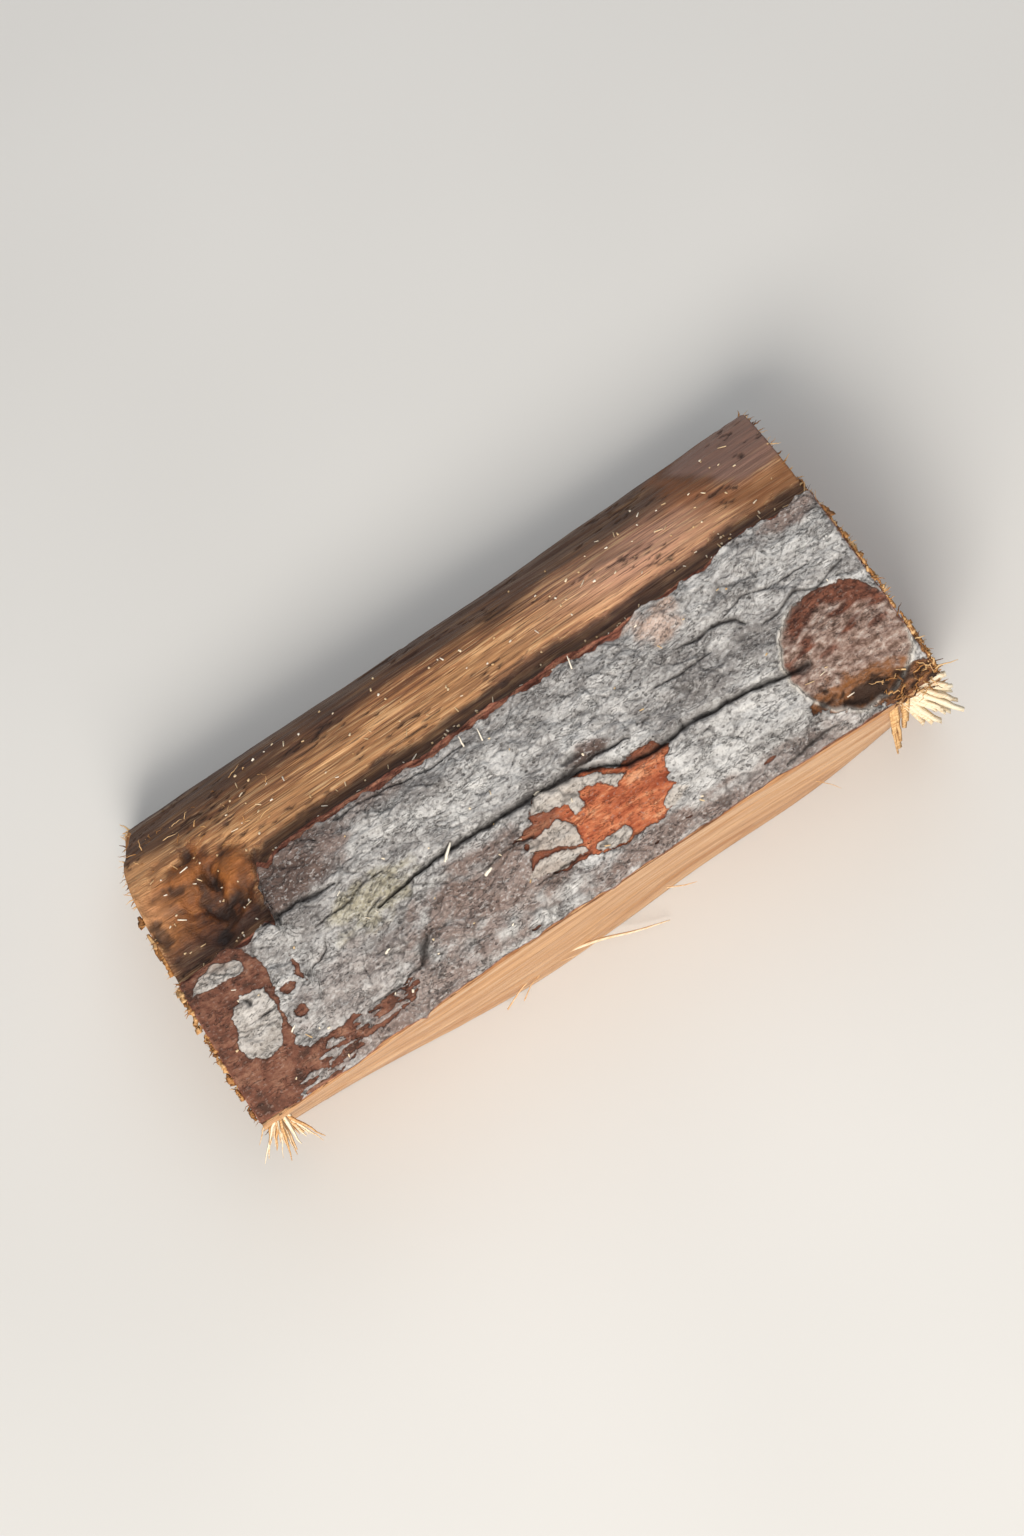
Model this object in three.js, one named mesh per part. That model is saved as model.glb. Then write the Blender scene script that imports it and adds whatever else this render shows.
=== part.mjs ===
// A split firewood log. One length of hardwood was sawn square at both ends and split twice along
// the grain: a wide split face that it lies on, and a narrower one at the front. A slab of bark
// still clings to the outer side, and beside it the bark has come off and bares the wood.
//
// Millimetres. X runs along the grain, Z is up, and -Y is the front, where the narrow split face is.
// The origin is under the middle of the log, on the surface that it rests on.
import * as THREE from "three";

// ---- Driving dimensions ----
const LENGTH = 250;
const BARK_THICKNESS = 4;
const BARK_CLEARANCE = 0.3; // the bark's inner side stands this far off the wood
const FRONT_FOOT_Y = -39.4; // the front split face meets the resting face here, at mid-length
const FRONT_ARRIS = [-41, 57]; // the front split face meets the bark here, at mid-length
// The rounded outer side at mid-length, from behind the front arris over the top to the back foot.
const OUTER_SIDE = [
  [-24, 61.6],
  [-4, 63],
  [14, 61.4],
  [31, 57.2],
  [48, 50.8],
  [61.5, 41.8],
  [69.5, 30.5],
  [72.5, 18],
  [70, 7],
  [64.5, 0],
];
const END_PINCH_FOOT = 7; // the front foot is further back at the two ends
const END_PINCH_ARRIS = -2; // and the front arris is further forward
const FOOT_WAVE = { height: 0.9, stretch: 19, phase: 0 }; // the front foot strays along the log
const ARRIS_WAVE = { height: 0.6, stretch: 26, phase: 1 }; // and so does the front arris
const SWELL_HEIGHT = 0.9; // how far the outer side swells and dips along the log
const SWELL_STRETCH = [21, 3]; // the swells' stretch at the arris, and how much it grows to the back
const SWELL_LAG = 1.7; // how far out of step neighbouring swells are
const HOLLOW_HEIGHT = 0.7; // how far the front split face swells and dips
const HOLLOW_STRETCH = 31;
const END_TAPER = 0.025; // the left end is this share slimmer than the right
const LEFT_SAW_SKEW = -0.035; // the left saw cut runs this far off square, as a slope
const RIGHT_SAW_SKEW = -0.006;

// The bark reaches from the front arris to this line along the log, and stops short of the scar.
const BARK_EDGE_Y = 26.5;
const BARK_EDGE_BY_SCAR_Y = 8.5;
const BARK_EDGE_WAVES = [
  { height: 0.8, stretch: 13, phase: 0 },
  { height: 0.5, stretch: 5.3, phase: 2 },
];
const BARK_RIDGE = { height: 0.35, stretch: 40, ridges: 9 }; // low ridges on the bark's outer side
const SCAR_END_X = -88; // where the bark steps back to clear the scar
const SCAR_STEP = 3;

// A hollow scar in the bare wood at the left end, and a swelling over a knot near the right end.
const SCAR = { x: -106, y: 31, alongRadius: 15, acrossRadius: 14, height: -5 };
const KNOT = { x: 108, y: -20, alongRadius: 24, acrossRadius: 20, height: 2 };

// ---- Mesh fineness ----
const STATIONS = 41; // sections along the log
const OUTER_POINTS = 34; // points over the outer side of a wood section
const FRONT_POINTS = 8; // points up the front split face
const FOOT_POINTS = 9; // points over the resting face
const BARK_POINTS = 15; // points across the bark

const halfLength = LENGTH / 2;
const smooth = THREE.MathUtils.smoothstep;

// ---- Shape of the log at a distance x along it ----

// 0 at mid-length and 1 at the two ends.
const endness = (x) => (x / halfLength) ** 2;

const swing = (wave, x) => wave.height * Math.sin(x / wave.stretch + wave.phase);

const footY = (x) => FRONT_FOOT_Y + END_PINCH_FOOT * endness(x) + swing(FOOT_WAVE, x);

// The outer side as a smooth curve from the front arris to the back foot.
function outerCurve(x) {
  const girth = 1 + END_TAPER * (x / LENGTH);
  const arris = new THREE.Vector2(
    FRONT_ARRIS[0] + END_PINCH_ARRIS * endness(x),
    FRONT_ARRIS[1] * girth + swing(ARRIS_WAVE, x),
  );
  const rest = OUTER_SIDE.map(([y, z], i) => {
    const stretch = SWELL_STRETCH[0] + SWELL_STRETCH[1] * i;
    const swell = swing({ height: SWELL_HEIGHT, stretch, phase: SWELL_LAG * i }, x);
    const lift = z > 0 ? swell : 0; // the back foot stays on the ground
    return new THREE.Vector2(y * girth + swell / 2, z * girth + lift);
  });
  return new THREE.SplineCurve([arris, ...rest]);
}

// The outward normal of a curve that runs from the front over the top to the back.
function normalAt(curve, u) {
  const along = curve.getTangent(u);
  return new THREE.Vector2(-along.y, along.x);
}

// How far a rounded mound, or a hollow with its height below zero, lifts the outer side.
function moundHeight(mound, x, y) {
  const along = (x - mound.x) / mound.alongRadius;
  const across = (y - mound.y) / mound.acrossRadius;
  return mound.height * Math.exp(-(along ** 2 + across ** 2));
}

// A point of the curve, moved outward by a height and by the mounds there.
function raisedPoint(curve, x, u, height, mounds) {
  const point = curve.getPoint(u);
  const lift = mounds.reduce((sum, mound) => sum + moundHeight(mound, x, point.x), height);
  return point.addScaledVector(normalAt(curve, u), lift);
}

// Slides a point of the section at x along the log so that the ends lie on the saw cuts.
function onSawCuts(x, y, z) {
  const skew = x < 0 ? LEFT_SAW_SKEW : RIGHT_SAW_SKEW;
  const share = x / halfLength;
  return new THREE.Vector3(x + share * skew * (y - FRONT_ARRIS[0]), y, z);
}

// ---- Sections: closed rings of points, counterclockwise when seen from +X ----

function woodSection(x) {
  const curve = outerCurve(x);
  const backFoot = curve.points[curve.points.length - 1];
  const ring = [];
  for (let i = 0; i < FOOT_POINTS; i++) {
    ring.push([THREE.MathUtils.lerp(footY(x), backFoot.x, i / FOOT_POINTS), 0]);
  }
  for (let i = 0; i < OUTER_POINTS; i++) {
    const point = raisedPoint(curve, x, 1 - i / OUTER_POINTS, 0, [SCAR, KNOT]);
    ring.push([point.x, Math.max(0, point.y)]);
  }
  const top = raisedPoint(curve, x, 0, 0, [SCAR, KNOT]);
  for (let i = 0; i < FRONT_POINTS; i++) {
    const down = i / FRONT_POINTS;
    const hollow = swing({ height: HOLLOW_HEIGHT, stretch: HOLLOW_STRETCH, phase: 2 * down }, x);
    const y = THREE.MathUtils.lerp(top.x, footY(x), down) + Math.sin(Math.PI * down) * hollow;
    ring.push([y, top.y * (1 - down)]);
  }
  return ring.map(([y, z]) => onSawCuts(x, y, z));
}

// Where the bark's upper edge runs.
function barkEdgeY(x) {
  const pastScar = smooth(x, SCAR_END_X - SCAR_STEP, SCAR_END_X + SCAR_STEP);
  const ragged = BARK_EDGE_WAVES.reduce((sum, wave) => sum + swing(wave, x), 0);
  return THREE.MathUtils.lerp(BARK_EDGE_BY_SCAR_Y, BARK_EDGE_Y, pastScar) + ragged;
}

// The place on the curve where it has come as far back as y.
function curveShareAtY(curve, y) {
  let low = 0;
  let high = 0.6; // y only grows up to here
  for (let i = 0; i < 30; i++) {
    const middle = (low + high) / 2;
    if (curve.getPoint(middle).x < y) low = middle;
    else high = middle;
  }
  return low;
}

function barkSection(x) {
  const curve = outerCurve(x);
  const edge = curveShareAtY(curve, barkEdgeY(x));
  const layer = (share, height) => raisedPoint(curve, x, share * edge, height, [KNOT]).toArray();
  const ring = [];
  for (let i = 0; i < BARK_POINTS; i++) {
    ring.push(layer(i / (BARK_POINTS - 1), BARK_CLEARANCE));
  }
  for (let i = BARK_POINTS - 1; i >= 0; i--) {
    const share = i / (BARK_POINTS - 1);
    const ridge = swing({ ...BARK_RIDGE, phase: BARK_RIDGE.ridges * share }, x);
    ring.push(layer(share, BARK_THICKNESS + ridge));
  }
  return ring.map(([y, z]) => onSawCuts(x, y, z));
}

// ---- Skins a row of sections and closes both ends ----

function skin(section) {
  const rings = [];
  for (let i = 0; i < STATIONS; i++) {
    rings.push(section(-halfLength + (LENGTH * i) / (STATIONS - 1)));
  }
  const count = rings[0].length;
  const triangles = [];
  for (let i = 0; i < STATIONS - 1; i++) {
    for (let j = 0; j < count; j++) {
      const next = (j + 1) % count;
      const a = i * count + j;
      const b = i * count + next;
      triangles.push(a, b, a + count, b, b + count, a + count);
    }
  }
  const flat = (ring) => ring.map((p) => new THREE.Vector2(p.y, p.z));
  const last = (STATIONS - 1) * count;
  for (const [a, b, c] of THREE.ShapeUtils.triangulateShape(flat(rings[0]), [])) {
    triangles.push(a, c, b);
  }
  for (const [a, b, c] of THREE.ShapeUtils.triangulateShape(flat(rings[STATIONS - 1]), [])) {
    triangles.push(last + a, last + b, last + c);
  }
  const geometry = new THREE.BufferGeometry().setFromPoints(rings.flat());
  geometry.setIndex(triangles);
  geometry.computeVertexNormals();
  return geometry;
}

// ---- The two pieces ----

function makeWood() {
  const material = new THREE.MeshStandardMaterial({ color: 0xc08a55, roughness: 0.8, metalness: 0 });
  const wood = new THREE.Mesh(skin(woodSection), material);
  wood.name = "wood";
  return wood;
}

function makeBark() {
  const material = new THREE.MeshStandardMaterial({ color: 0x8f8a86, roughness: 0.92, metalness: 0 });
  const bark = new THREE.Mesh(skin(barkSection), material);
  bark.name = "bark";
  return bark;
}

const log = new THREE.Group();
log.add(makeWood(), makeBark());

// The origin goes under the middle of the log.
const extent = new THREE.Box3().setFromObject(log);
const middle = extent.getCenter(new THREE.Vector3());
log.position.set(-middle.x, -middle.y, -extent.min.z);

export default log;
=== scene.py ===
# %% [markdown]
# # A split firewood log
# A round of hardwood was sawn to length and split twice along the grain. A slab of grey bark still
# clings to the outer side, and beside it the bark has come off and bares the wood. The log lies on
# its wide split face, bark up.
#
# The imported CAD model fixes its size and place. This notebook measures that model, lays two fine
# skins over it, the wood and the bark, shapes them with noise and with a few listed routes and
# outlines, adds the loose fibres, and gives every surface a procedural finish.

# %% Load the fixed frame
import math

import bmesh
import bpy
import numpy as np
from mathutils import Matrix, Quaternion, Vector
from mathutils.bvhtree import BVHTree


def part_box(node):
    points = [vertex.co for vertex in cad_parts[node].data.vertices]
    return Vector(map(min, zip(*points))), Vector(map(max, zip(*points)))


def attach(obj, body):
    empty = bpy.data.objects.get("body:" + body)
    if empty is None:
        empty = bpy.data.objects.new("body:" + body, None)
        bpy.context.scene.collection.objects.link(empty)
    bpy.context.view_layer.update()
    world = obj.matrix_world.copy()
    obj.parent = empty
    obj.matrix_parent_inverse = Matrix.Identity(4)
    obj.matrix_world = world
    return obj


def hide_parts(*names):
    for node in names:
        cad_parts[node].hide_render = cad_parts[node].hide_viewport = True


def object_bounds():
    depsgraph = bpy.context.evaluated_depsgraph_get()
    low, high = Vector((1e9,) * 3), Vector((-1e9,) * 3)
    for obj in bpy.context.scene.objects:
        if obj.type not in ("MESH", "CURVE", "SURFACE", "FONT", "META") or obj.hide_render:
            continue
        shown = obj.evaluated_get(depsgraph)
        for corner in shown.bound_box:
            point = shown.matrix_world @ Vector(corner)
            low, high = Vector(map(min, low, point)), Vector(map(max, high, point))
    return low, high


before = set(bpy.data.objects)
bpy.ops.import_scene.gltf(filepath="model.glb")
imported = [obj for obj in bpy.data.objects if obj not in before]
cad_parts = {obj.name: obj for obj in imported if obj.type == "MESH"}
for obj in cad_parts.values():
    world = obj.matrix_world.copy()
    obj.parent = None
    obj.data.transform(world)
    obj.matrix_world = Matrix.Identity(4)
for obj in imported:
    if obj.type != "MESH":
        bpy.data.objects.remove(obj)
cad_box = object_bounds()
MM = 0.001  # the script reckons in millimetres and hands metres to Blender
print("frame nodes:", sorted(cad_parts))

# %% [markdown]
# ## Camera first
# The camera looks steeply down on the front of the log, and is rolled so that the log climbs to the
# right across the picture. A long lens from further off keeps the two ends the same size.

# %% Camera
VIEW_ELEVATION, VIEW_ROLL = 75, 33.7  # degrees
VIEW_DISTANCE = 1.35
LENS = 100

middle = (cad_box[0] + cad_box[1]) / 2


def aimed(name, data, azimuth, elevation, distance):
    """A camera or a lamp that looks at the log from a direction given in degrees, 0 from the front."""
    turn, rise = math.radians(azimuth), math.radians(elevation)
    back = Vector((math.sin(turn) * math.cos(rise), -math.cos(turn) * math.cos(rise), math.sin(rise)))
    thing = bpy.data.objects.new(name, data)
    thing.location = middle + back * distance
    thing.rotation_mode = "QUATERNION"
    thing.rotation_quaternion = (-back).to_track_quat("-Z", "Y")
    bpy.context.scene.collection.objects.link(thing)
    return thing


camera = aimed("camera", bpy.data.cameras.new("camera"), 0, VIEW_ELEVATION, VIEW_DISTANCE)
camera.data.lens = LENS
camera.rotation_quaternion = camera.rotation_quaternion @ Quaternion((0, 0, 1), -math.radians(VIEW_ROLL))
bpy.context.scene.camera = camera
print("camera at", tuple(round(c, 3) for c in camera.location))

# %% [markdown]
# ## Noise
# Wood and bark are uneven at every scale, but the unevenness has to come out the same each time the
# script runs. Each corner of a square lattice gets a fixed random slope from its whole-number
# position, and the surface runs smoothly between them. Sums of finer and lower layers of it give
# rough surfaces, and stretching it along x gives grain. So rough(along / 42, across / 15, 91, 3) has
# blobs about 42 mm long and 15 mm wide, in three layers, and 91 only makes it unlike the others.

# %% Lattice noise
NOISE_HEIGHT = 1.5  # brings the highest hills to about 1


def hashed(i, j, seed):
    """A fixed random number from 0 to 1 for each pair of whole numbers."""
    n = i.astype(np.int64).astype(np.uint32) * np.uint32(0x9E3779B1)
    n = n ^ (j.astype(np.int64) + 7919 * seed).astype(np.uint32) * np.uint32(0x85EBCA77)
    n = (n ^ (n >> np.uint32(15))) * np.uint32(0x2C1B3C6D)
    n = (n ^ (n >> np.uint32(12))) * np.uint32(0x297A2D39)
    return (n ^ (n >> np.uint32(15))) / 2.0**32


def fade(t):
    """0 to 1 with a smooth start and finish."""
    return t * t * t * (t * (t * 6 - 15) + 10)


def noise(u, v, seed):
    """Smooth hills and hollows, about one to a unit, from -1 to 1."""
    u, v = np.broadcast_arrays(u, v)
    i, j = np.floor(u), np.floor(v)
    fu, fv = u - i, v - j
    total = np.zeros(u.shape)
    for du in (0, 1):
        for dv in (0, 1):
            turn = 2 * np.pi * hashed(i + du, j + dv, seed)
            slope = np.cos(turn) * (fu - du) + np.sin(turn) * (fv - dv)
            total += slope * fade(1 - abs(fu - du)) * fade(1 - abs(fv - dv))
    return total * NOISE_HEIGHT


def rough(u, v, seed, layers):
    """Noise on noise: each layer is twice as fine as the last and half as high."""
    return sum(noise(u * 2**k, v * 2**k, seed + 31 * k) / 2**k for k in range(layers))


def rough_line(u, seed, layers):
    """The same along a line."""
    return rough(u, u * 0, seed, layers)


def step(value, low, high):
    """0 below low, 1 above high, and smooth between."""
    return fade(np.clip((value - low) / (high - low), 0, 1))


def inside(distance, soft=0.3):
    """1 inside an outline, 0 outside it, from a distance that is below zero inside."""
    return step(distance, soft, -soft)


def mound(value, middle, radius):
    """1 at the middle, and falling off smoothly on both sides."""
    return np.exp(-(((value - middle) / radius) ** 2))


def plates(u, v, seed):
    """Plates about one unit wide: how far each place is from a border, and a number for its plate."""
    nearest, second, number = np.full(u.shape, np.inf), np.full(u.shape, np.inf), np.zeros(u.shape)
    for du in (-1, 0, 1):
        for dv in (-1, 0, 1):
            i, j = np.floor(u) + du, np.floor(v) + dv
            away = np.hypot(i + hashed(i, j, seed) - u, j + hashed(i, j, seed + 1) - v)
            second = np.where(away < nearest, nearest, np.minimum(second, away))
            number = np.where(away < nearest, hashed(i, j, seed + 2), number)
            nearest = np.minimum(nearest, away)
    return second - nearest, number


print("noise sample:", round(float(rough(np.array([0.3]), np.array([0.7]), 1, 4)[0]), 4))

# %% [markdown]
# ## Measure the wood
# Rays from a line inside the log find its surface in every direction, at many places along it. The
# rows stop short of the ends, where a saw cut that isn't quite square would let a ray out, and carry
# on straight from there. Rays along the log find the two saw cuts.

# %% Outline of the wood
wood_low, wood_high = (np.array(corner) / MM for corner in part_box("wood"))
HALF = (wood_high[0] - wood_low[0]) / 2
CORE_SHARE = (0.45, 0.34)  # the line inside the log, as shares of the wood's width and height
core_y = wood_low[1] + CORE_SHARE[0] * (wood_high[1] - wood_low[1])
core_z = CORE_SHARE[1] * wood_high[2]
STATIONS = np.linspace(-0.94, 0.94, 61) * HALF
ANGLES = np.radians(np.arange(0, 360, 0.5))  # 0 is the back, a quarter turn is straight up


def tree_of(node):
    """A CAD node's surface, in millimetres, ready for rays."""
    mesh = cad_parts[node].data
    return BVHTree.FromPolygons([v.co / MM for v in mesh.vertices], [p.vertices for p in mesh.polygons])


wood_tree = tree_of("wood")


def reach(x, angle):
    """How far the surface is from the core line in one direction."""
    out = Vector((0, math.cos(angle), math.sin(angle)))
    return wood_tree.ray_cast(Vector((x, core_y, core_z)), out)[3]


reach_table = np.array([[reach(x, angle) for angle in ANGLES] for x in STATIONS])
print("reach from the core line:", reach_table.min().round(1), "to", reach_table.max().round(1), "mm")


# %% Corners of the outline
def furthest_angle(low, high):
    """The angle between low and high degrees where the outline sticks out most, along the log."""
    window = (ANGLES >= math.radians(low)) & (ANGLES <= math.radians(high))
    return np.polyfit(STATIONS, ANGLES[window][np.argmax(reach_table[:, window], axis=1)], 4)


def back_foot_angle():
    """The angle where the rounded side meets the ground, along the log."""
    grounded = core_z + reach_table * np.sin(ANGLES) < 0.1
    return np.polyfit(STATIONS, [ANGLES[row].max() for row in grounded], 4)


FRONT_FOOT = furthest_angle(195, 225)
FRONT_ARRIS = furthest_angle(130, 160)
BACK_FOOT = back_foot_angle()


def at_x(table, x):
    """A row between two stations, or beyond the last one, on a straight line."""
    i = int(np.clip(np.searchsorted(STATIONS, x) - 1, 0, len(STATIONS) - 2))
    share = (x - STATIONS[i]) / (STATIONS[i + 1] - STATIONS[i])
    return table[i] * (1 - share) + table[i + 1] * share


def stretch(x, start, end, places):
    """Points of the outline from one angle to another, at shares of its length, and that length."""
    angle = np.linspace(start, end, 500)
    radius = np.interp(angle, ANGLES, at_x(reach_table, x), period=2 * np.pi)
    y, z = core_y + radius * np.cos(angle), core_z + radius * np.sin(angle)
    length = np.append(0, np.cumsum(np.hypot(np.diff(y), np.diff(z))))
    spots = places * length[-1]
    return np.interp(spots, length, y), np.interp(spots, length, z), spots, length[-1]


print("front arris at", round(math.degrees(np.polyval(FRONT_ARRIS, 0)), 1), "degrees")

# %% Saw cuts
CUT_REACH = 2 * HALF  # a ray from here starts well outside the log
CUT_ROWS = np.linspace(core_y - 30, core_y + 45, 9)  # rays at these places all hit the cut


def cut_line(direction):
    """Where a saw cut lies along x, as a straight line over y. direction is -1 left, 1 right."""
    start = [Vector((direction * CUT_REACH, y, core_z)) for y in CUT_ROWS]
    hits = [wood_tree.ray_cast(p, Vector((-direction, 0, 0)))[0].x for p in start]
    return np.polyfit(CUT_ROWS, hits, 1)


LEFT_CUT, RIGHT_CUT = cut_line(-1), cut_line(1)


def slide(share, y):
    """The x of a point whose share of the way to the end is -1 to 1, between the two saw cuts."""
    return np.where(share < 0, -share * np.polyval(LEFT_CUT, y), share * np.polyval(RIGHT_CUT, y))


print("saw cuts at", slide(np.array([-1, 1]), 0).round(1))

# %% [markdown]
# ## Meshes from grids
# Every skin is a grid of points in numpy first, so that relief is arithmetic and not clicking. The
# net gathers such grids into one closed mesh. It also gives each face its place on a flat map with
# nothing overlapping, so that the finishes can be baked to pictures for use in other programs.

# %% Net
class Net:
    """Points and faces, gathered block by block into one mesh."""

    def __init__(self):
        self.points, self.values, self.faces, self.places, self.finishes = [], [], [], [], []
        self.count = 0

    def add_points(self, points, **values):
        """Adds an array of points with a value or array for each attribute. Gives their numbers."""
        size = points[..., 0].size
        numbers = self.count + np.arange(size).reshape(points.shape[:-1])
        self.points.append(points.reshape(-1, 3))
        flat = {k: np.broadcast_to(v, points.shape[:-1]).reshape(-1) for k, v in values.items()}
        self.values.append((size, flat))
        self.count += size
        return numbers

    def add_faces(self, faces, places, finish=0):
        """Adds rows of point numbers, and for each its corners' places on the map."""
        self.faces += faces.tolist()
        self.places.append(places.reshape(-1, 2))
        self.finishes += [finish] * len(faces)

    def add_grid(self, numbers, places, finish=0):
        """Adds the faces between the rows and columns of a grid of points."""

        def corners(grid):
            around = [grid[:-1, :-1], grid[1:, :-1], grid[1:, 1:], grid[:-1, 1:]]
            return np.stack(around, axis=2).reshape((-1, 4) + grid.shape[2:])

        self.add_faces(corners(numbers), corners(places), finish)

    def add_fan(self, ring, ring_places, hub, hub_place, finish=0):
        """Closes a ring of points with triangles to one point in the middle."""
        hubs = np.full(len(ring) - 1, hub)
        spots = np.broadcast_to(hub_place, (len(ring) - 1, 2))
        faces = np.stack([ring[:-1], ring[1:], hubs], axis=1)
        self.add_faces(faces, np.stack([ring_places[:-1], ring_places[1:], spots], axis=1), finish)

    def make(self, name, finishes):
        """The finished Blender object, smooth, with its faces pointing out."""
        mesh = bpy.data.meshes.new(name)
        mesh.from_pydata((np.concatenate(self.points) * MM).tolist(), [], self.faces)
        baking = mesh.uv_layers.new(name="OFBake")
        baking.data.foreach_set("uv", np.concatenate(self.places).astype(np.float32).ravel())
        mesh.polygons.foreach_set("material_index", self.finishes)
        mesh.polygons.foreach_set("use_smooth", [True] * len(self.faces))
        for key in sorted({k for _, values in self.values for k in values}):
            column = np.concatenate([values.get(key, np.zeros(size)) for size, values in self.values])
            attribute = mesh.attributes.new(key, "FLOAT", "POINT")
            attribute.data.foreach_set("value", column.astype(np.float32))
        for finish in finishes:
            mesh.materials.append(finish)
        whole = bmesh.new()
        whole.from_mesh(mesh)
        bmesh.ops.recalc_face_normals(whole, faces=whole.faces)
        open_edges = sum(not edge.is_manifold for edge in whole.edges)
        whole.to_mesh(mesh)
        whole.free()
        piece = bpy.data.objects.new(name, mesh)
        bpy.context.scene.collection.objects.link(piece)
        print(f"{name}: {len(mesh.vertices)} points, {len(self.faces)} faces, {open_edges} open edges")
        return piece


def outward(grid):
    """Unit normals of a grid of points whose rows run along x and whose columns run around it."""
    along, around = np.gradient(grid, axis=0), np.gradient(grid, axis=1)
    normal = np.cross(along, around)
    return normal / np.linalg.norm(normal, axis=2, keepdims=True)


# %% [markdown]
# ## Finishes
# A finish here is a Principled shader fed by noise and by the attributes that the nets carry. A
# small class keeps each recipe readable: most of its methods add nodes and give back the last one's
# output.

# %% Recipe
def linear(screen):
    """A screen colour such as #9b9894 as the linear values that shaders take."""
    parts = [int(screen[i : i + 2], 16) / 255 for i in (1, 3, 5)]
    return (*(p / 12.92 if p <= 0.04045 else ((p + 0.055) / 1.055) ** 2.4 for p in parts), 1.0)


class Recipe:
    """A procedural material. Sizes are in millimetres along x, y and z."""

    def __init__(self, name):
        self.material = bpy.data.materials.new(name)
        self.material.use_nodes = True
        self.tree = self.material.node_tree
        self.shader = self.tree.nodes["Principled BSDF"]
        self.place = self.add("TexCoord").outputs["Object"]

    def add(self, kind, inputs=(), **settings):
        """Adds a node with its settings, and feeds its inputs, given as pairs of name and value."""
        node = self.tree.nodes.new("ShaderNode" + kind)
        for key, value in settings.items():
            setattr(node, key, value)
        for key, value in inputs:
            self.feed(node.inputs[key], value)
        return node

    def feed(self, socket, value):
        """Links an output to a socket, or sets the socket to a plain value."""
        if isinstance(value, bpy.types.NodeSocket):
            self.tree.links.new(value, socket)
        else:
            socket.default_value = value

    def scaled(self, size):
        """The place on the object, counted in blobs of that size."""
        scale = [1 / (MM * s) for s in size]
        return self.add("Mapping", [("Vector", self.place), ("Scale", scale)]).outputs["Vector"]

    def clouds(self, size, detail=3.0, roughness=0.55, distortion=0.0):
        """Noise from 0 to 1, mostly near the middle."""
        node = self.add("TexNoise", [("Vector", self.scaled(size)), ("Scale", 1), ("Detail", detail)])
        self.feed(node.inputs["Roughness"], roughness)
        self.feed(node.inputs["Distortion"], distortion)
        return node.outputs["Fac"]

    def cells(self, size):
        """Distance to the nearest of scattered points."""
        return self.add("TexVoronoi", [("Vector", self.scaled(size)), ("Scale", 1)]).outputs["Distance"]

    def value(self, name):
        """An attribute that the mesh carries."""
        return self.add("Attribute", attribute_name=name).outputs["Fac"]

    def calc(self, operation, a, b=0.0):
        """Arithmetic on two values."""
        return self.add("Math", [(0, a), (1, b)], operation=operation).outputs[0]

    def times(self, a, b):
        return self.calc("MULTIPLY", a, b)

    def off(self, value, middle):
        """How far a value is from the middle one, either way."""
        return self.calc("ABSOLUTE", self.calc("SUBTRACT", value, middle))

    def ease(self, value, low, high):
        """0 below low, 1 above high, and smooth between. low may be the larger one."""
        flip = float(low > high)
        limits = [("From Min", min(low, high)), ("From Max", max(low, high))]
        limits += [("To Min", flip), ("To Max", 1 - flip)]
        node = self.add("MapRange", [("Value", value), *limits], interpolation_type="SMOOTHSTEP")
        return node.outputs["Result"]

    def ramp(self, value, *stops):
        """Colours over a value: each stop is (position, screen colour)."""
        node = self.add("ValToRGB", [("Fac", value)])
        elements = node.color_ramp.elements
        while len(elements) < len(stops):
            elements.new(0.5)
        for element, (position, colour) in zip(elements, stops):
            element.position, element.color = position, linear(colour)
        return node.outputs["Color"]

    def mix(self, share, a, b):
        """Colour a under colour b, which covers it by that share. Colours may be screen colours."""
        node = self.add("Mix", data_type="RGBA")
        sockets = {socket.name: socket for socket in node.inputs if socket.enabled}
        self.feed(sockets["Factor"], share)
        for key, colour in (("A", a), ("B", b)):
            self.feed(sockets[key], linear(colour) if isinstance(colour, str) else colour)
        return next(socket for socket in node.outputs if socket.enabled)

    def paint(self, colour, *coats):
        """Paints coats over a colour. Each is (colour, where, strength), and where it goes is an output
        or the name of an attribute, 1 where the coat is thickest."""
        for coat, where, strength in coats:
            share = self.value(where) if isinstance(where, str) else where
            colour = self.mix(self.times(share, strength), colour, coat)
        return colour

    def relief(self, *bumps):
        """Small relief, from the broadest to the finest: each bump is (height from 0 to 1, what a
        height of 1 stands for in millimetres)."""
        normal = None
        for height, depth in bumps:
            node = self.add("Bump", [("Distance", depth * MM), ("Height", height)])
            if normal is not None:
                self.feed(node.inputs["Normal"], normal)
            normal = node.outputs["Normal"]
        return normal

    def serve(self, colour, roughness, normal):
        """Hands the colour, roughness and relief to the shader."""
        self.feed(self.shader.inputs["Base Color"], colour)
        self.feed(self.shader.inputs["Roughness"], roughness)
        self.feed(self.shader.inputs["Normal"], normal)
        return self.material


# %% [markdown]
# ## Where the bark ends
# The bark reaches from the front arris to an edge that runs along the log. Rays straight down on to
# the CAD bark find that edge. A slab of bark is the wood's outer side lifted by the bark's thickness,
# so only the edge has to be measured, as a length around the outer side. The edge jumps at the scar,
# and the jump is made steeper than the CAD bark's few sections can show it.

# %% Bark edge
bark_low, bark_high = (np.array(corner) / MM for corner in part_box("bark"))
BARK_TOP = bark_high[2] - wood_high[2]  # from the wood up to the bark's outer side
EDGE_STATIONS = np.linspace(-0.95, 0.95, 96) * HALF
bark_tree = tree_of("bark")
down = Vector((0, 0, -1))
edge_rows = np.arange(bark_low[1], bark_high[1] + 1, 0.4)


def bark_edge_at(x):
    """The y of the bark's upper edge."""
    hit = [bark_tree.ray_cast(Vector((x, y, CUT_REACH)), down)[0] is not None for y in edge_rows]
    return edge_rows[hit].max()


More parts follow.
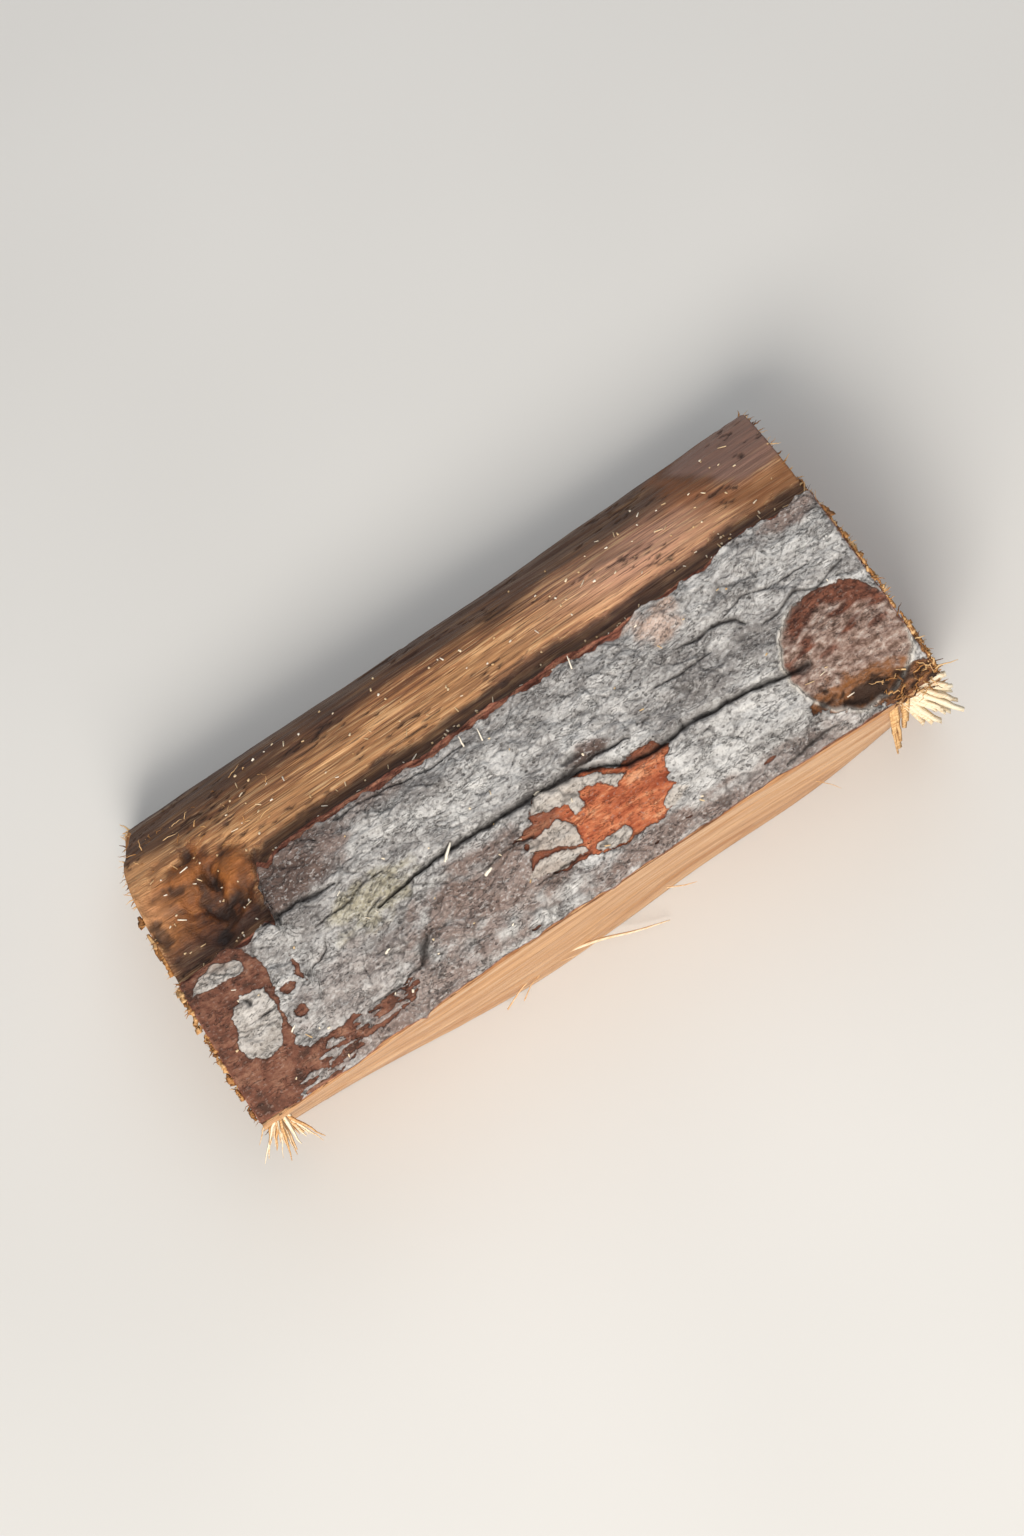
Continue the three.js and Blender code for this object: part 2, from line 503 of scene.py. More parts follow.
edge_y = np.array([bark_edge_at(x) for x in EDGE_STATIONS])
by_scar, along_log = np.median(edge_y[:6]), np.median(edge_y[20:])
jump = (edge_y - by_scar) / (along_log - by_scar)
steeper = by_scar + (along_log - by_scar) * step(jump, 0.35, 0.65)
edge_y = np.where((jump > 0.15) & (jump < 0.85), steeper, edge_y)
print("bark edge at y from", edge_y.min().round(1), "to", edge_y.max().round(1), "mm")


def bark_reach(x):
    """How far around the outer side the bark goes, from the front arris."""
    start, end = np.polyval(FRONT_ARRIS, x), np.polyval(BACK_FOOT, x) - 2 * np.pi
    y, _, spots, _ = stretch(x, start, end, np.linspace(0, 0.6, 400))
    return np.interp(np.interp(x, EDGE_STATIONS, edge_y), y, spots)


# %% [markdown]
# ## The wood's skin
# The wood is one closed skin. Rings of points run round the log: up the front split face, over the
# outer side, down to the back foot and back along the resting face. Columns are close together where
# the wood shows and wide apart under the bark. The ends are closed by grids that spread out from the
# pith, as the rays of real end grain do, so that a drying check can open between two columns.

# %% Rings of the wood
FRONT_COLUMNS, COVERED_COLUMNS, OPEN_COLUMNS, FOOT_COLUMNS = 90, 30, 160, 44
COVERED_SHARE = 0.29  # of the outer side; beyond it the bark may be missing
WOOD_ROWS = 232
ROW_CROWDING = 0.9  # rows crowd towards the ends, more as this grows


def crowded(count):
    """Shares from -1 to 1 that lie closer together near both ends."""
    return np.sin(np.linspace(-ROW_CROWDING, ROW_CROWDING, count)) / math.sin(ROW_CROWDING)


covered_places = np.linspace(0, COVERED_SHARE, COVERED_COLUMNS, endpoint=False)
open_places = np.linspace(COVERED_SHARE, 1, OPEN_COLUMNS, endpoint=False)
outer_places = np.concatenate([covered_places, open_places])
front_places = np.linspace(0, 1, FRONT_COLUMNS, endpoint=False)
foot_places = np.linspace(0, 1, FOOT_COLUMNS, endpoint=False)


def ring_at(x):
    """The y and z of a ring's points, how far each is round the log, and round the outer side."""
    foot, arris = np.polyval(FRONT_FOOT, x), np.polyval(FRONT_ARRIS, x)
    back = np.polyval(BACK_FOOT, x) - 2 * np.pi
    front = stretch(x, foot, arris, front_places)
    outer = stretch(x, arris, back, outer_places)
    under = stretch(x, back, foot - 2 * np.pi, foot_places)
    y, z = (np.concatenate([front[k], outer[k], under[k]]) for k in (0, 1))
    round_log = np.concatenate([front[2], front[3] + outer[2], front[3] + outer[3] + under[2]])
    return np.stack([y, z, round_log, round_log - front[3]])


wood_share = crowded(WOOD_ROWS)[:, None]
rings = np.array([ring_at(x) for x in wood_share[:, 0] * HALF])
ring_y, ring_z, ring_round, ring_outer = rings.transpose(1, 0, 2)
ring_x = slide(wood_share, ring_y)
ring_along = ring_x + HALF  # mm from the left end
is_front = np.arange(rings.shape[2]) < FRONT_COLUMNS
is_foot = np.arange(rings.shape[2]) >= rings.shape[2] - FOOT_COLUMNS
is_outer = ~is_front & ~is_foot
print("wood rings:", ring_y.shape, "girth", ring_round.max().round(0), "mm")

# %% [markdown]
# ## The wood's relief
# Weathered wood under lost bark is grooved by its fibres and opened by short drying checks, and a
# gutter runs along the bark. The gutter and the checks are darkened with painted shadow. A fresh split
# is smoother, with long low ridges where the wood tore along the grain. At the left end a branch once
# died, and left a lumpy hollow with a hole in it beside the bark, with painted shade in the hole and the
# hollow's crevices. The corner above it has been knocked off.

# %% Relief of the wood
CHECK_DEPTH, HOLE_DEPTH = 0.9, 2.6
POCKET = {"along": 22.0, "y": 15.5, "length": 20.0, "width": 19.0}  # the hollow's middle and radii
HOLE = {"along": 27.5, "y": 8.5, "length": 8.5, "width": 6.0}
CREVICE = {"along": 27.5, "y": 19.5, "length": 2.6, "width": 6.5}
BULGES = [(20, 23, 6.5, 3.4), (34, 18.5, 6, 3.4), (12, 9, 5, 1.6)]  # along, y, radius and height
GUTTER_WIDTH, GUTTER_DEPTH = 8.4, 1.6
BROKEN_CORNER = {"outer": 122.0, "width": 17.0, "depth": 8.0}


def hollow(spot, along, y):
    """How far out from a hollow's middle each point is, 1 at its rim."""
    return np.hypot((along - spot["along"]) / spot["length"], (y - spot["y"]) / spot["width"])


bark_edge_round = np.array([bark_reach(x) for x in wood_share[:, 0] * HALF])[:, None]
past_edge = np.where(is_outer, ring_outer - bark_edge_round, -99.0)  # mm past the bark's edge
grooves = 0.35 * rough(ring_along / 48, ring_round / 2.4, 3, 3)
grooves += 0.6 * rough(ring_along / 70, ring_round / 13, 5, 3)
check_breaks = 0.5 * step(noise(ring_along / 26, ring_round / 9, 12), 0.3, -0.1)
check_field = abs(noise(ring_along / 20, ring_round / 2.4, 11)) + check_breaks
checks = -CHECK_DEPTH * step(check_field, 0.07, 0.0)
split = 0.3 * rough(ring_along / 75, ring_round / 3.4, 21, 3)
split += 0.7 * rough(ring_along / 90, ring_round / 22, 23, 2)

pocket_out = hollow(POCKET, ring_along, ring_y) + 0.22 * rough(ring_along / 9, ring_y / 9, 31, 3)
in_pocket = np.where(is_outer, step(pocket_out, 1.15, 0.75), 0.0)
bulge = np.zeros(ring_along.shape)
for a, y, radius, height in BULGES:
    bulge = np.maximum(bulge, height * mound(ring_along, a, radius) * mound(ring_y, y, radius))
clots = rough(ring_along / 9, ring_y / 8, 33, 4)
hole_out = np.minimum(hollow(HOLE, ring_along, ring_y), hollow(CREVICE, ring_along, ring_y))
hole_out += 0.35 * rough(ring_along / 5, ring_y / 5, 35, 3)
hole = np.where(is_outer, step(hole_out, 1.15, 0.3), 0.0)

# The gutter's mask also carries a nearly black painted shadow along the bark's edge.
gutter_width = GUTTER_WIDTH + 1.8 * rough_line(ring_along / 17, 37, 4)
gutter = step(past_edge, gutter_width + 0.9, gutter_width - 1.3) * step(past_edge, -3, -1)
gutter *= 0.35 + 0.65 * step(ring_along, 30, 42)  # shallow beside the hollow

bare_relief = (grooves + checks) * (1 - in_pocket) + (1.3 * clots + bulge - 1.6) * in_pocket
bare_relief -= HOLE_DEPTH * hole + GUTTER_DEPTH * gutter
relief = np.where(is_outer, bare_relief, split)
relief = np.where(is_foot, np.minimum(split, 0) * 0.8, relief)
print("wood relief from", relief.min().round(2), "to", relief.max().round(2), "mm")

# %% Wood points
rings_flat = np.stack([ring_x, ring_y, ring_z], axis=2)
closed = np.concatenate([rings_flat[:, -1:], rings_flat, rings_flat[:, :1]], axis=1)
wood_normal = outward(closed)[:, 1:-1]
wood_points = rings_flat + wood_normal * relief[..., None]
wood_points[..., 2] = np.maximum(wood_points[..., 2], 0)
broken = mound(ring_outer, BROKEN_CORNER["outer"], BROKEN_CORNER["width"]) * is_outer
broken *= 1 + 0.16 * rough_line(ring_outer / 6, 41, 3)
wood_points[..., 0] += BROKEN_CORNER["depth"] * broken * step(-wood_share, 0.72, 1.0)
print("front face's normals point to -Y:", bool((wood_normal[:, 30, 1] < 0).all()))


# %% Attributes of the wood
PITH = (core_y - 2.0, 2.5)  # the middle of the tree, just above the resting face
FAR_SIDE = (90, 108)  # mm round the outer side, where painted shade, with some darker weathering, turns the wood dark


def growth_at(along, y, z):
    """Millimetres from the pith, a little wavy along the log, as growth rings are."""
    wander = 1.6 * noise(along / 60, (y + z) / 40, 51) + 0.5 * noise(along / 22, (y - z) / 12, 52)
    return np.hypot(y - PITH[0], z - PITH[1]) + wander


wander_outer = ring_outer + 9 * rough(ring_along / 45, ring_outer / 14, 53, 3)
plum_out = np.hypot((ring_along - 257) / 40, (ring_outer - 114) / 29)  # 1 at the plum corner's border
plum_out += 0.16 * rough(ring_along / 22, ring_outer / 16, 55, 3)
plum_out += step(ring_outer, 118, 150)  # it fades out on the back
# pale_end is partly paler wood and partly a painted highlight at the left end
pale_end = mound(ring_along, 4, 8) * mound(ring_y, 21, 13)
pale_strip = mound(ring_along, 8, 10) * mound(ring_outer, 97, 3.5)
umber = mound(ring_y, 0, 7) * step(ring_along, 42, 36) * step(ring_along + clots * 5, -2, 8)
far_shade = 0.86 + 0.14 * rough(ring_along / 34, ring_outer / 7, 56, 4)
gutter_fade = 0.85 + 0.15 * noise(ring_along / 5, ring_outer / 2, 38)
# painted shade inside the drying checks
check_shade = 0.8 * step(check_field, 0.12, 0.02) * (1 - in_pocket) * is_outer
wood_values = {
    "growth": growth_at(ring_along, ring_y, ring_z),
    # painted shadow in the gutter beside the bark, and painted shade in the checks
    "stain": np.maximum(gutter * gutter_fade, check_shade),
    # painted shade with some darker weathering, towards the far side
    "far_side": step(wander_outer, *FAR_SIDE) * far_shade * is_outer,
    "plum": step(plum_out, 1.0, 0.82) * is_outer,
    "amber": mound(plum_out, 1.07, 0.13) * is_outer,
    # a painted highlight: lighter golden wood along the middle of the bared side
    "golden": mound(ring_outer, 85, 7) * is_outer,
    "rosy": mound(ring_along, 196, 30) * mound(ring_outer, 90, 14) * is_outer,
    # partly paler wood, partly a painted highlight
    "pale": np.maximum(pale_end, pale_strip) * is_outer,
    "umber": umber * is_outer,
    "bulge": np.minimum(1, bulge / 3.0) * is_outer,
    "pocket": in_pocket,
    # painted shade in the hole and in the hollow's crevices
    "deep": np.maximum(hole * step(clots, 0.9, 0.1), 0.85 * in_pocket * step(clots, -0.1, -0.6)),
}
print("growth from", wood_values["growth"].min().round(0), "to", wood_values["growth"].max().round(0))

# %% Wood piece
GIRTH_MAP, ENDS_MAP = (0.01, 0.69), (0.72, 0.99)  # heights on the map: the barrel, then the two ends
CAP_RINGS = 30
CAP_CROWDING = 1.35  # rings crowd towards the rim
END_CHECKS = [(58, 0.4, 1.0), (84, 0.2, 0.5), (112, 0.55, 0.97), (137, 0.3, 0.62), (24, 0.5, 0.9)]
END_CHECK_DEPTH = 2.6
CHATTER = 0.22  # the saw's marks
FRONT, BARE, END = 0, 1, 2  # the wood's finishes


def closed_up(grid):
    """The grid with its first column again at the end."""
    return np.concatenate([grid, grid[:, :1]], axis=1)


def end_checks(turn, shrink, shift):
    """How open the drying checks are at each point of a sawn end, from 0 to 1."""
    gap = np.zeros((len(shrink), len(turn)))
    for number, (angle, near, far) in enumerate(END_CHECKS):  # degrees, then shares of the way out
        column = np.argmin(abs(turn - (angle + shift * number) % 170))
        opening = mound(np.arange(len(turn)), column, 0.9)
        gap = np.maximum(gap, opening * step(shrink, far, far - 0.15) * step(shrink, near - 0.1, near + 0.15))
    return gap


def add_end(net, rim, rim_points, cut, rim_places, left):
    """Closes one end of the wood with rings that shrink from the rim to the pith."""
    y, z = rim_points[:, 1], rim_points[:, 2]
    radius = np.hypot(y - PITH[0], z - PITH[1])
    turn = np.degrees(np.arctan2(z - PITH[1], y - PITH[0]))
    outset = rim_points[:, 0] - np.polyval(cut, y)
    shrink = (1 - np.linspace(0, 1, CAP_RINGS + 1)[1:-1] ** CAP_CROWDING)[:, None]
    cap_y, cap_z = PITH[0] + (y - PITH[0]) * shrink, PITH[1] + (z - PITH[1]) * shrink
    gap = end_checks(turn, shrink, 7 * left)
    chatter = CHATTER * abs(rough(cap_y / 9, cap_z / 2.2, 61 + left, 3))
    inward = 1 if left else -1
    cap_x = np.polyval(cut, cap_y) + outset * np.exp(-radius * (1 - shrink) / 6)
    cap_x = cap_x + inward * (END_CHECK_DEPTH * gap + chatter)
    cap = np.stack([cap_x, cap_y, cap_z], axis=2)
    # painted shade in the opening checks, and below at the sunken pith
    values = {"growth": growth_at(rim_points[:, 0] * 0 + 3 * left, cap_y, cap_z), "deep": gap}
    values["ray"] = np.broadcast_to(turn / 10, cap_y.shape)
    cap_numbers = net.add_points(cap, **values)
    hub_point = np.array([[np.polyval(cut, PITH[0]) + inward, *PITH]])
    hub = net.add_points(hub_point, deep=1.0)[0]
    numbers = closed_up(np.concatenate([rim[None], cap_numbers]))
    scale = (ENDS_MAP[1] - ENDS_MAP[0]) / wood_high[2] * np.array([0.95, 0.98])
    corner = np.array([0.02 if left else 0.52, ENDS_MAP[0]])
    flat = np.concatenate([rim_points[None], cap])[..., 1:]
    places = corner + (closed_up(flat) - (wood_low[1], 0)) * scale
    net.add_grid(numbers, places, END)
    net.add_fan(numbers[-1], places[-1], hub, corner + (np.array(PITH) - (wood_low[1], 0)) * scale, END)


wood_net = Net()
wood_numbers = wood_net.add_points(wood_points, **wood_values)
girth = ring_round.max(axis=1, keepdims=True) * FOOT_COLUMNS / (FOOT_COLUMNS - 0.5)
map_u = np.concatenate([0.01 + 0.98 * ring_round / girth, np.full((WOOD_ROWS, 1), 0.99)], axis=1)
map_v = np.interp(wood_share, (-1, 1), GIRTH_MAP) + 0 * map_u
barrel = closed_up(wood_numbers)
barrel_places = np.stack([map_u, map_v], axis=2)
first_outer, first_foot = FRONT_COLUMNS, FRONT_COLUMNS + COVERED_COLUMNS + OPEN_COLUMNS
sides = ((0, first_outer, FRONT), (first_outer, first_foot, BARE), (first_foot, barrel.shape[1] - 1, FRONT))
for start, end, finish in sides:
    columns = slice(start, end + 1)
    wood_net.add_grid(barrel[:, columns], barrel_places[:, columns], finish)
add_end(wood_net, wood_numbers[0], wood_points[0], LEFT_CUT, barrel_places[0], True)
add_end(wood_net, wood_numbers[-1], wood_points[-1], RIGHT_CUT, barrel_places[-1], False)


# %% [markdown]
# ## Finish of the wood
# The wood shows four surfaces. The fresh split is pale tan with fine straight grain. The weathered
# side is golden brown and streaked, with a painted highlight along its middle, painted shade with some
# darker weathering on its far side, a nearly black painted shadow in the gutter beside the bark, and a
# purple tinge at its right end. The hollow at the left is orange-brown and clotted, with painted shade
# in its low places and its hole, and a pale patch at the left end that is partly a painted highlight.
# The sawn ends show growth rings, fine rays and saw marks, with painted shade in their checks. The grain
# is noise drawn out along x. The rings come from an attribute that counts millimetres from the pith, so
# they run through from the ends to the split faces as they should.

# %% Split wood
def grain(recipe, length, width, detail=4.0):
    """Noise drawn out along the log."""
    return recipe.clouds((length, width, width), detail=detail, roughness=0.6)


def growth_lines(recipe, spacing, wobble, start):
    """A dark edge at each growth ring, from a share of the way to the next one."""
    count = recipe.calc("DIVIDE", recipe.value("growth"), spacing)
    count = recipe.calc("ADD", count, recipe.times(wobble, 1.6))
    return recipe.ease(recipe.calc("FRACT", count), start, 1.0)


def split_finish():
    recipe = Recipe("split_wood")
    broad, fine = grain(recipe, 120, 5), grain(recipe, 30, 0.55)
    from_pith = recipe.calc("ADD", recipe.value("growth"), recipe.times(broad, 14))
    colour = recipe.paint(
        recipe.ramp(broad, (0.34, "#bd8a5c"), (0.5, "#d3a273"), (0.66, "#e2ba90")),
        ("#a9744a", recipe.ease(from_pith, 62, 44), 0.6),  # heartwood
        ("#ad7444", growth_lines(recipe, 2.7, broad, 0.6), 0.45),
        ("#9a6336", recipe.ease(fine, 0.53, 0.66), 0.4),  # dark fibres
        ("#7c4c28", recipe.ease(grain(recipe, 9, 0.7, 2), 0.66, 0.74), 0.5),  # short dark flecks
        ("#efcfa8", recipe.ease(grain(recipe, 26, 2.2, 3), 0.56, 0.7), 0.4),  # pale streaks
    )
    relief = recipe.relief((fine, 0.35), (grain(recipe, 14, 0.25, 2), 0.12))
    return recipe.serve(colour, recipe.ease(fine, -0.6, 1.9), relief)


# %% Weathered wood
def pocket_colour(recipe, clots):
    """The clotted orange-brown of the hollow, with painted shade in its low places."""
    return recipe.paint(
        recipe.ramp(clots, (0.35, "#2c1204"), (0.45, "#562a0d"), (0.55, "#7e4518"), (0.68, "#a2632b")),
        ("#b9702f", "bulge", 0.5),
        # partly paler wood, partly a painted highlight
        ("#d99a66", "pale", 0.7),
    )


def bare_finish():
    recipe = Recipe("bare_wood")
    broad, streaks, fine = grain(recipe, 90, 9), grain(recipe, 38, 1.8), grain(recipe, 16, 0.5)
    clots = recipe.clouds((6, 5, 5), 5, 0.62)
    colour = recipe.paint(
        recipe.ramp(streaks, (0.36, "#673b20"), (0.46, "#98623a"), (0.55, "#c08754"), (0.66, "#e6b480")),
        ("#6b4526", recipe.ease(broad, 0.5, 0.38), 0.6),  # broad shade
        # painted highlight along the middle of the bared side
        ("#d9a06a", "golden", 0.42),
        ("#dca58a", "rosy", 0.75),
        ("#63391c", growth_lines(recipe, 1.9, streaks, 0.55), 0.3),
        ("#472a15", recipe.ease(fine, 0.55, 0.66), 0.7),  # dark fibres
        ("#f0c893", recipe.ease(fine, 0.45, 0.34), 0.6),  # pale fibres
        # painted shade with some darker weathering on the far side
        ("#3c200f", "far_side", 0.95),
        ("#80491d", "amber", 0.72),
        ("#947062", "plum", 0.66),
        # partly paler wood, partly a painted highlight
        ("#dda26c", "pale", 0.7),
        (pocket_colour(recipe, clots), "pocket", 0.95),
        ("#3a1d0d", "umber", 0.78),
        # painted shade in the hole and the hollow's crevices
        ("#1d110a", "deep", 0.88),
        # painted shadow: nearly black in the gutter and the checks
        ("#2c1509", "stain", 0.92),
    )
    relief = recipe.relief((streaks, 0.6), (fine, 0.45), (recipe.times(clots, recipe.value("pocket")), 0.9))
    return recipe.serve(colour, recipe.ease(fine, -0.7, 1.6), relief)


# %% End grain
def saw_marks(recipe):
    """Wavy marks that a saw leaves, from 0 to 1."""
    inputs = [("Vector", recipe.scaled((60, 2.1, 18))), ("Scale", 1)]
    inputs += [("Distortion", 1.6), ("Detail Scale", 0.4)]
    return recipe.add("TexWave", inputs, bands_direction="Y", wave_profile="SIN").outputs["Fac"]


def end_finish():
    recipe = Recipe("end_grain")
    mottle = recipe.clouds((8, 14, 14), 4)
    rays = recipe.add("TexNoise", [("W", recipe.value("ray")), ("Scale", 9)], noise_dimensions="1D")
    colour = recipe.paint(
        recipe.ramp(mottle, (0.36, "#a86a34"), (0.5, "#c38448"), (0.64, "#d39b61")),
        ("#81491f", growth_lines(recipe, 2.6, mottle, 0.5), 0.6),
        ("#e2b27c", recipe.ease(rays.outputs["Fac"], 0.5, 0.72), 0.4),
        ("#613515", recipe.ease(recipe.cells((0.9, 0.55, 0.55)), 0.3, 0.1), 0.5),  # pores
        ("#7a4520", recipe.ease(recipe.value("growth"), 70, 78), 0.35),  # dirty rim
        # painted shade in the checks and at the pith
        ("#1f120a", "deep", 0.95),
    )
    relief = recipe.relief((saw_marks(recipe), 0.35), (recipe.clouds((0.6, 0.6, 0.6), 2), 0.25))
    return recipe.serve(colour, recipe.ease(mottle, -1.2, 1.2), relief)


wood = wood_net.make("split_log", [split_finish(), bare_finish(), end_finish()])
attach(wood, "root")
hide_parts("wood")


# %% [markdown]
# ## The slab of bark
# The bark is a second closed skin over the wood. Its outer grid is fine, because all its character is
# in shallow relief. Walls run from its four edges down into the wood, and a coarse underside closes
# it where nobody looks. Places on it are given in millimetres: along from the left end, and across
# from the lower edge, which follows the front arris.

# %% Bark grid
BARK_ROWS, BARK_COLUMNS = 505, 173  # both are a multiple of four, plus one
COARSER = 4  # the underside keeps every fourth row and column
SINK = 1.2  # how far the underside is sunk into the wood


def outer_at(x, spots):
    """The y and z of points of the wood's outer side, at lengths from the front arris."""
    start, end = np.polyval(FRONT_ARRIS, x), np.polyval(BACK_FOOT, x) - 2 * np.pi
    length = stretch(x, start, end, np.zeros(1))[3]
    return np.array(stretch(x, start, end, spots / length)[:2])


bark_share = np.linspace(-1, 1, BARK_ROWS)
bark_x = bark_share * HALF
upper_rag = 0.9 * rough_line(bark_x / 9, 71, 4)
lower_rag = 0.9 + 0.8 * rough_line(bark_x / 14, 73, 4)
edge_round = np.array([bark_reach(x) for x in bark_x]) + upper_rag
across_share = np.linspace(0, 1, BARK_COLUMNS)
spans = zip(bark_x, lower_rag, edge_round)
rows = [outer_at(x, low + (high - low) * across_share) for x, low, high in spans]
base_y, base_z = np.array(rows).transpose(1, 0, 2)
bark_base = np.stack([slide(bark_share[:, None], base_y), base_y, base_z], axis=2)
bark_normal = outward(bark_base)
lifted = bark_base + bark_normal * BARK_TOP
pace = np.linalg.norm(np.diff(lifted, axis=1), axis=2)
across = np.concatenate([np.zeros((BARK_ROWS, 1)), np.cumsum(pace, axis=1)], axis=1) + lower_rag[:, None]
along = lifted[..., 0] + HALF
from_upper = across[:, -1:] - across
from_lower = across - across[:, :1]
from_end = HALF - abs(bark_share[:, None] * HALF) + 0 * across
print("bark width", across[:, -1].min().round(1), "to", across[:, -1].max().round(1), "mm")

# %% [markdown]
# ## What has happened to the bark
# The grey outer skin of the bark has flaked off in places. It is gone at the left end, all but a disc
# and a flake, and shows smooth purple-brown bark. It is gone in a patch near the middle, down to the
# rust-red inner bark, and thin chalky flakes still lie round that patch. A round branch scar sits at
# the right end. Cracks run along the grain, wider in some places than in others. Each of these is a
# listed outline or route, and noise makes their edges ragged.

# %% Outlines and routes
LEFT_BARE = [
    (-3, 60), (20, 58), (24, 52), (27, 45), (27.5, 38), (26.5, 34), (25, 28), (25, 21), (22.5, 16.5),
    (25.5, 13), (43, 13.5), (47, 11.5), (57, 12.5), (67, 12.5), (62, 7), (48, 5.5), (38, 4), (31, 1.5),
    (24, -3), (-3, -3),
]
DISC = [
    (16.5, 39), (24, 36.5), (24.3, 30), (23, 23), (19.5, 18.5), (14.5, 17), (8.5, 20), (7, 24.5),
    (10, 29), (10.5, 33.5), (12.5, 36), (15, 36),
]
END_FLAKE = [(4, 46), (8.5, 50.5), (14.5, 51.5), (21.5, 49.5), (22, 44.5), (12.5, 45)]
RUST = [
    (112, 28.6), (120, 30.5), (124, 37), (137, 37), (145.5, 36), (152, 31), (158, 32.3), (165, 32), (170, 29),
    (166, 24.5), (163, 18.5), (166, 14), (160.5, 12), (157, 10), (147, 10), (140, 9.5), (133.5, 11),
    (131, 13), (121.5, 12.5), (111, 16), (115.5, 22), (115, 25.5), (119, 26.5),
]
RUST_FLAKES = [
    [
        (122, 33), (125.5, 38), (137, 37), (144.5, 33.5), (149, 30.5), (153, 28), (149.5, 25.5),
        (147, 27), (144.5, 30), (140, 31.5), (137.5, 31.5), (137, 26.5), (133.5, 25.5), (132, 30.5),
        (125, 31.5),
    ],
    [(116.5, 26), (128.5, 27.5), (131, 24.5), (131.5, 22), (130, 17), (123, 20.3), (119.5, 21.3), (115, 23)],
    [(116.5, 20), (121.5, 19.3), (128.5, 16.5), (131, 14.3), (121.5, 13.5), (113.5, 15), (110, 16.5)],
    [(133.5, 14), (137, 15), (144.5, 14.5), (145.5, 10.7), (140, 10.2), (134, 11.5)],
    [(158, 14.5), (163, 17), (167, 14), (160.5, 11.5), (157.5, 11)],
]
BRANCH_SCAR = {"along": 231.2, "across": 24.4, "radius": 20.0}
# The next four hold ovals, each as its middle and its radii, along and across.
OPENINGS = [(30.3, 32.5, 2.7, 1.6), (29.8, 24.1, 2.2, 2.1), (36, 35.4, 0.9, 4.5)]
PITS = [(17.4, 35.3, 0.9, 1.8), (218, 15.5, 0.9, 0.9), (141, 41, 4, 1.2)]
SCAR_HOLE = [(217, 12.5, 5, 1.8), (224.5, 10, 7, 3.2), (232, 8, 7, 4.5), (239, 5, 7, 5), (246, 3, 5, 5)]
CAVITY = (229.5, 8, 9, 3.4)  # the deepest part of that hole, which gets the darkest painted shade
CRACKS = [  # depth, then a route of (along, across, half width)
    (
        3.2,
        [
            (67, 36.5, 0.3), (86, 38.4, 0.8), (104, 38.2, 0.85), (128, 37.8, 1.05), (138, 37.6, 1.3),
            (146, 35.4, 1.0), (150, 33.5, 0.9), (155, 30.3, 0.8), (165, 29.4, 0.9), (176.5, 30.4, 1.2),
            (188, 29.5, 1.05), (198.8, 28.6, 0.85), (211, 26.4, 0.8), (218, 26, 1.4),
        ],
    ),
    (1.8, [(138, 37.7, 0.7), (150.5, 38, 0.8), (160, 36.3, 0.2)]),
    (1.3, [(70, 69, 0.3), (90, 67, 0.45), (104, 65, 0.4), (119, 65, 0.2)]),
    (1.9, [(34, 53, 0.4), (38, 53.6, 1.2), (46, 53.2, 1.3), (60, 50.6, 0.3)]),
    (1.0, [(47, 43.3, 0.2), (58, 43, 0.45), (66, 45, 0.35), (74, 45.5, 0.15)]),
    (1.0, [(37, 32.5, 0.2), (43, 34, 0.4), (46.5, 36, 0.45), (48, 38.5, 0.2)]),
    (1.0, [(60, 35, 0.2), (64, 37.3, 0.35), (69, 38.6, 0.2)]),
    (1.2, [(187, 52.6, 0.3), (193.5, 51.5, 0.6), (203, 52, 0.8), (208, 50, 0.6), (209.5, 47, 0.3)]),
    (0.9, [(205, 53, 0.25), (213, 55, 0.4), (222, 53, 0.35), (238, 53.4, 0.15)]),
    (0.8, [(172, 45.6, 0.2), (184, 44.8, 0.4), (196, 45.8, 0.25)]),
    (0.7, [(213.5, 43.5, 0.4), (220, 44.5, 0.6), (227, 47, 0.6), (234, 44.5, 0.5), (245, 47.5, 0.4)]),
    (1.8, [(68.5, 13.6, 0.4), (71.5, 17, 1.7), (75, 20.6, 0.5)]),
    (0.8, [(44, 13.2, 0.2), (58, 12.6, 0.4), (70, 14, 0.4)]),
    (1.0, [(17, 29, 0.2), (21, 29.3, 0.45), (24.5, 29.6, 0.2)]),
    (0.9, [(98, 27, 0.15), (108, 27.7, 0.35), (119, 27.3, 0.4)]),
    (0.9, [(112, 13.6, 0.2), (122, 14, 0.4), (131, 13.6, 0.4)]),
    (0.8, [(196, 2.8, 0.3), (208, 4.5, 0.7), (216, 5, 0.3)]),
]
BROWN_STAINS = [  # along, across, the two radii and the strength
    (100, 20, 30, 13, 1), (153, 5, 28, 5, 1), (50, 64, 22, 10, 1), (60, 6, 40, 6, 0.9), (147, 40.5, 8, 3, 1),
    (240, 70, 10, 4, 0.9), (200, 4, 28, 5, 0.6), (86, 68, 12, 4, 0.6), (14, 54, 14, 6, 0.8),
    (50, 22, 20, 11, 0.45), (44, 60, 9, 7, 1),
]
PALE_PATCHES = [
    (159, 34, 9, 2.5, 1), (172, 21, 6, 9, 0.8), (110, 50, 26, 7, 0.8), (197, 19, 22, 11, 0.8),
    (234, 59, 13, 7, 0.8), (104, 8, 15, 5, 0.7), (75, 58, 12, 7, 0.7), (160, 55, 20, 9, 0.3),
]
DARK_PATCHES = [
    (210, 39, 19, 8, 0.9), (94, 29, 22, 7, 0.8), (66, 26, 14, 9, 0.5), (180, 40, 22, 5, 0.5),
    (46, 62, 16, 8, 1), (150, 66, 40, 5, 0.6), (70, 47, 26, 5, 0.5),
]
SHADES = [(45, 62, 15, 8, 1), (54, 56, 13, 3, 0.8), (56, 68, 15, 3, 0.8), (147, 40, 7, 2.2, 1)]


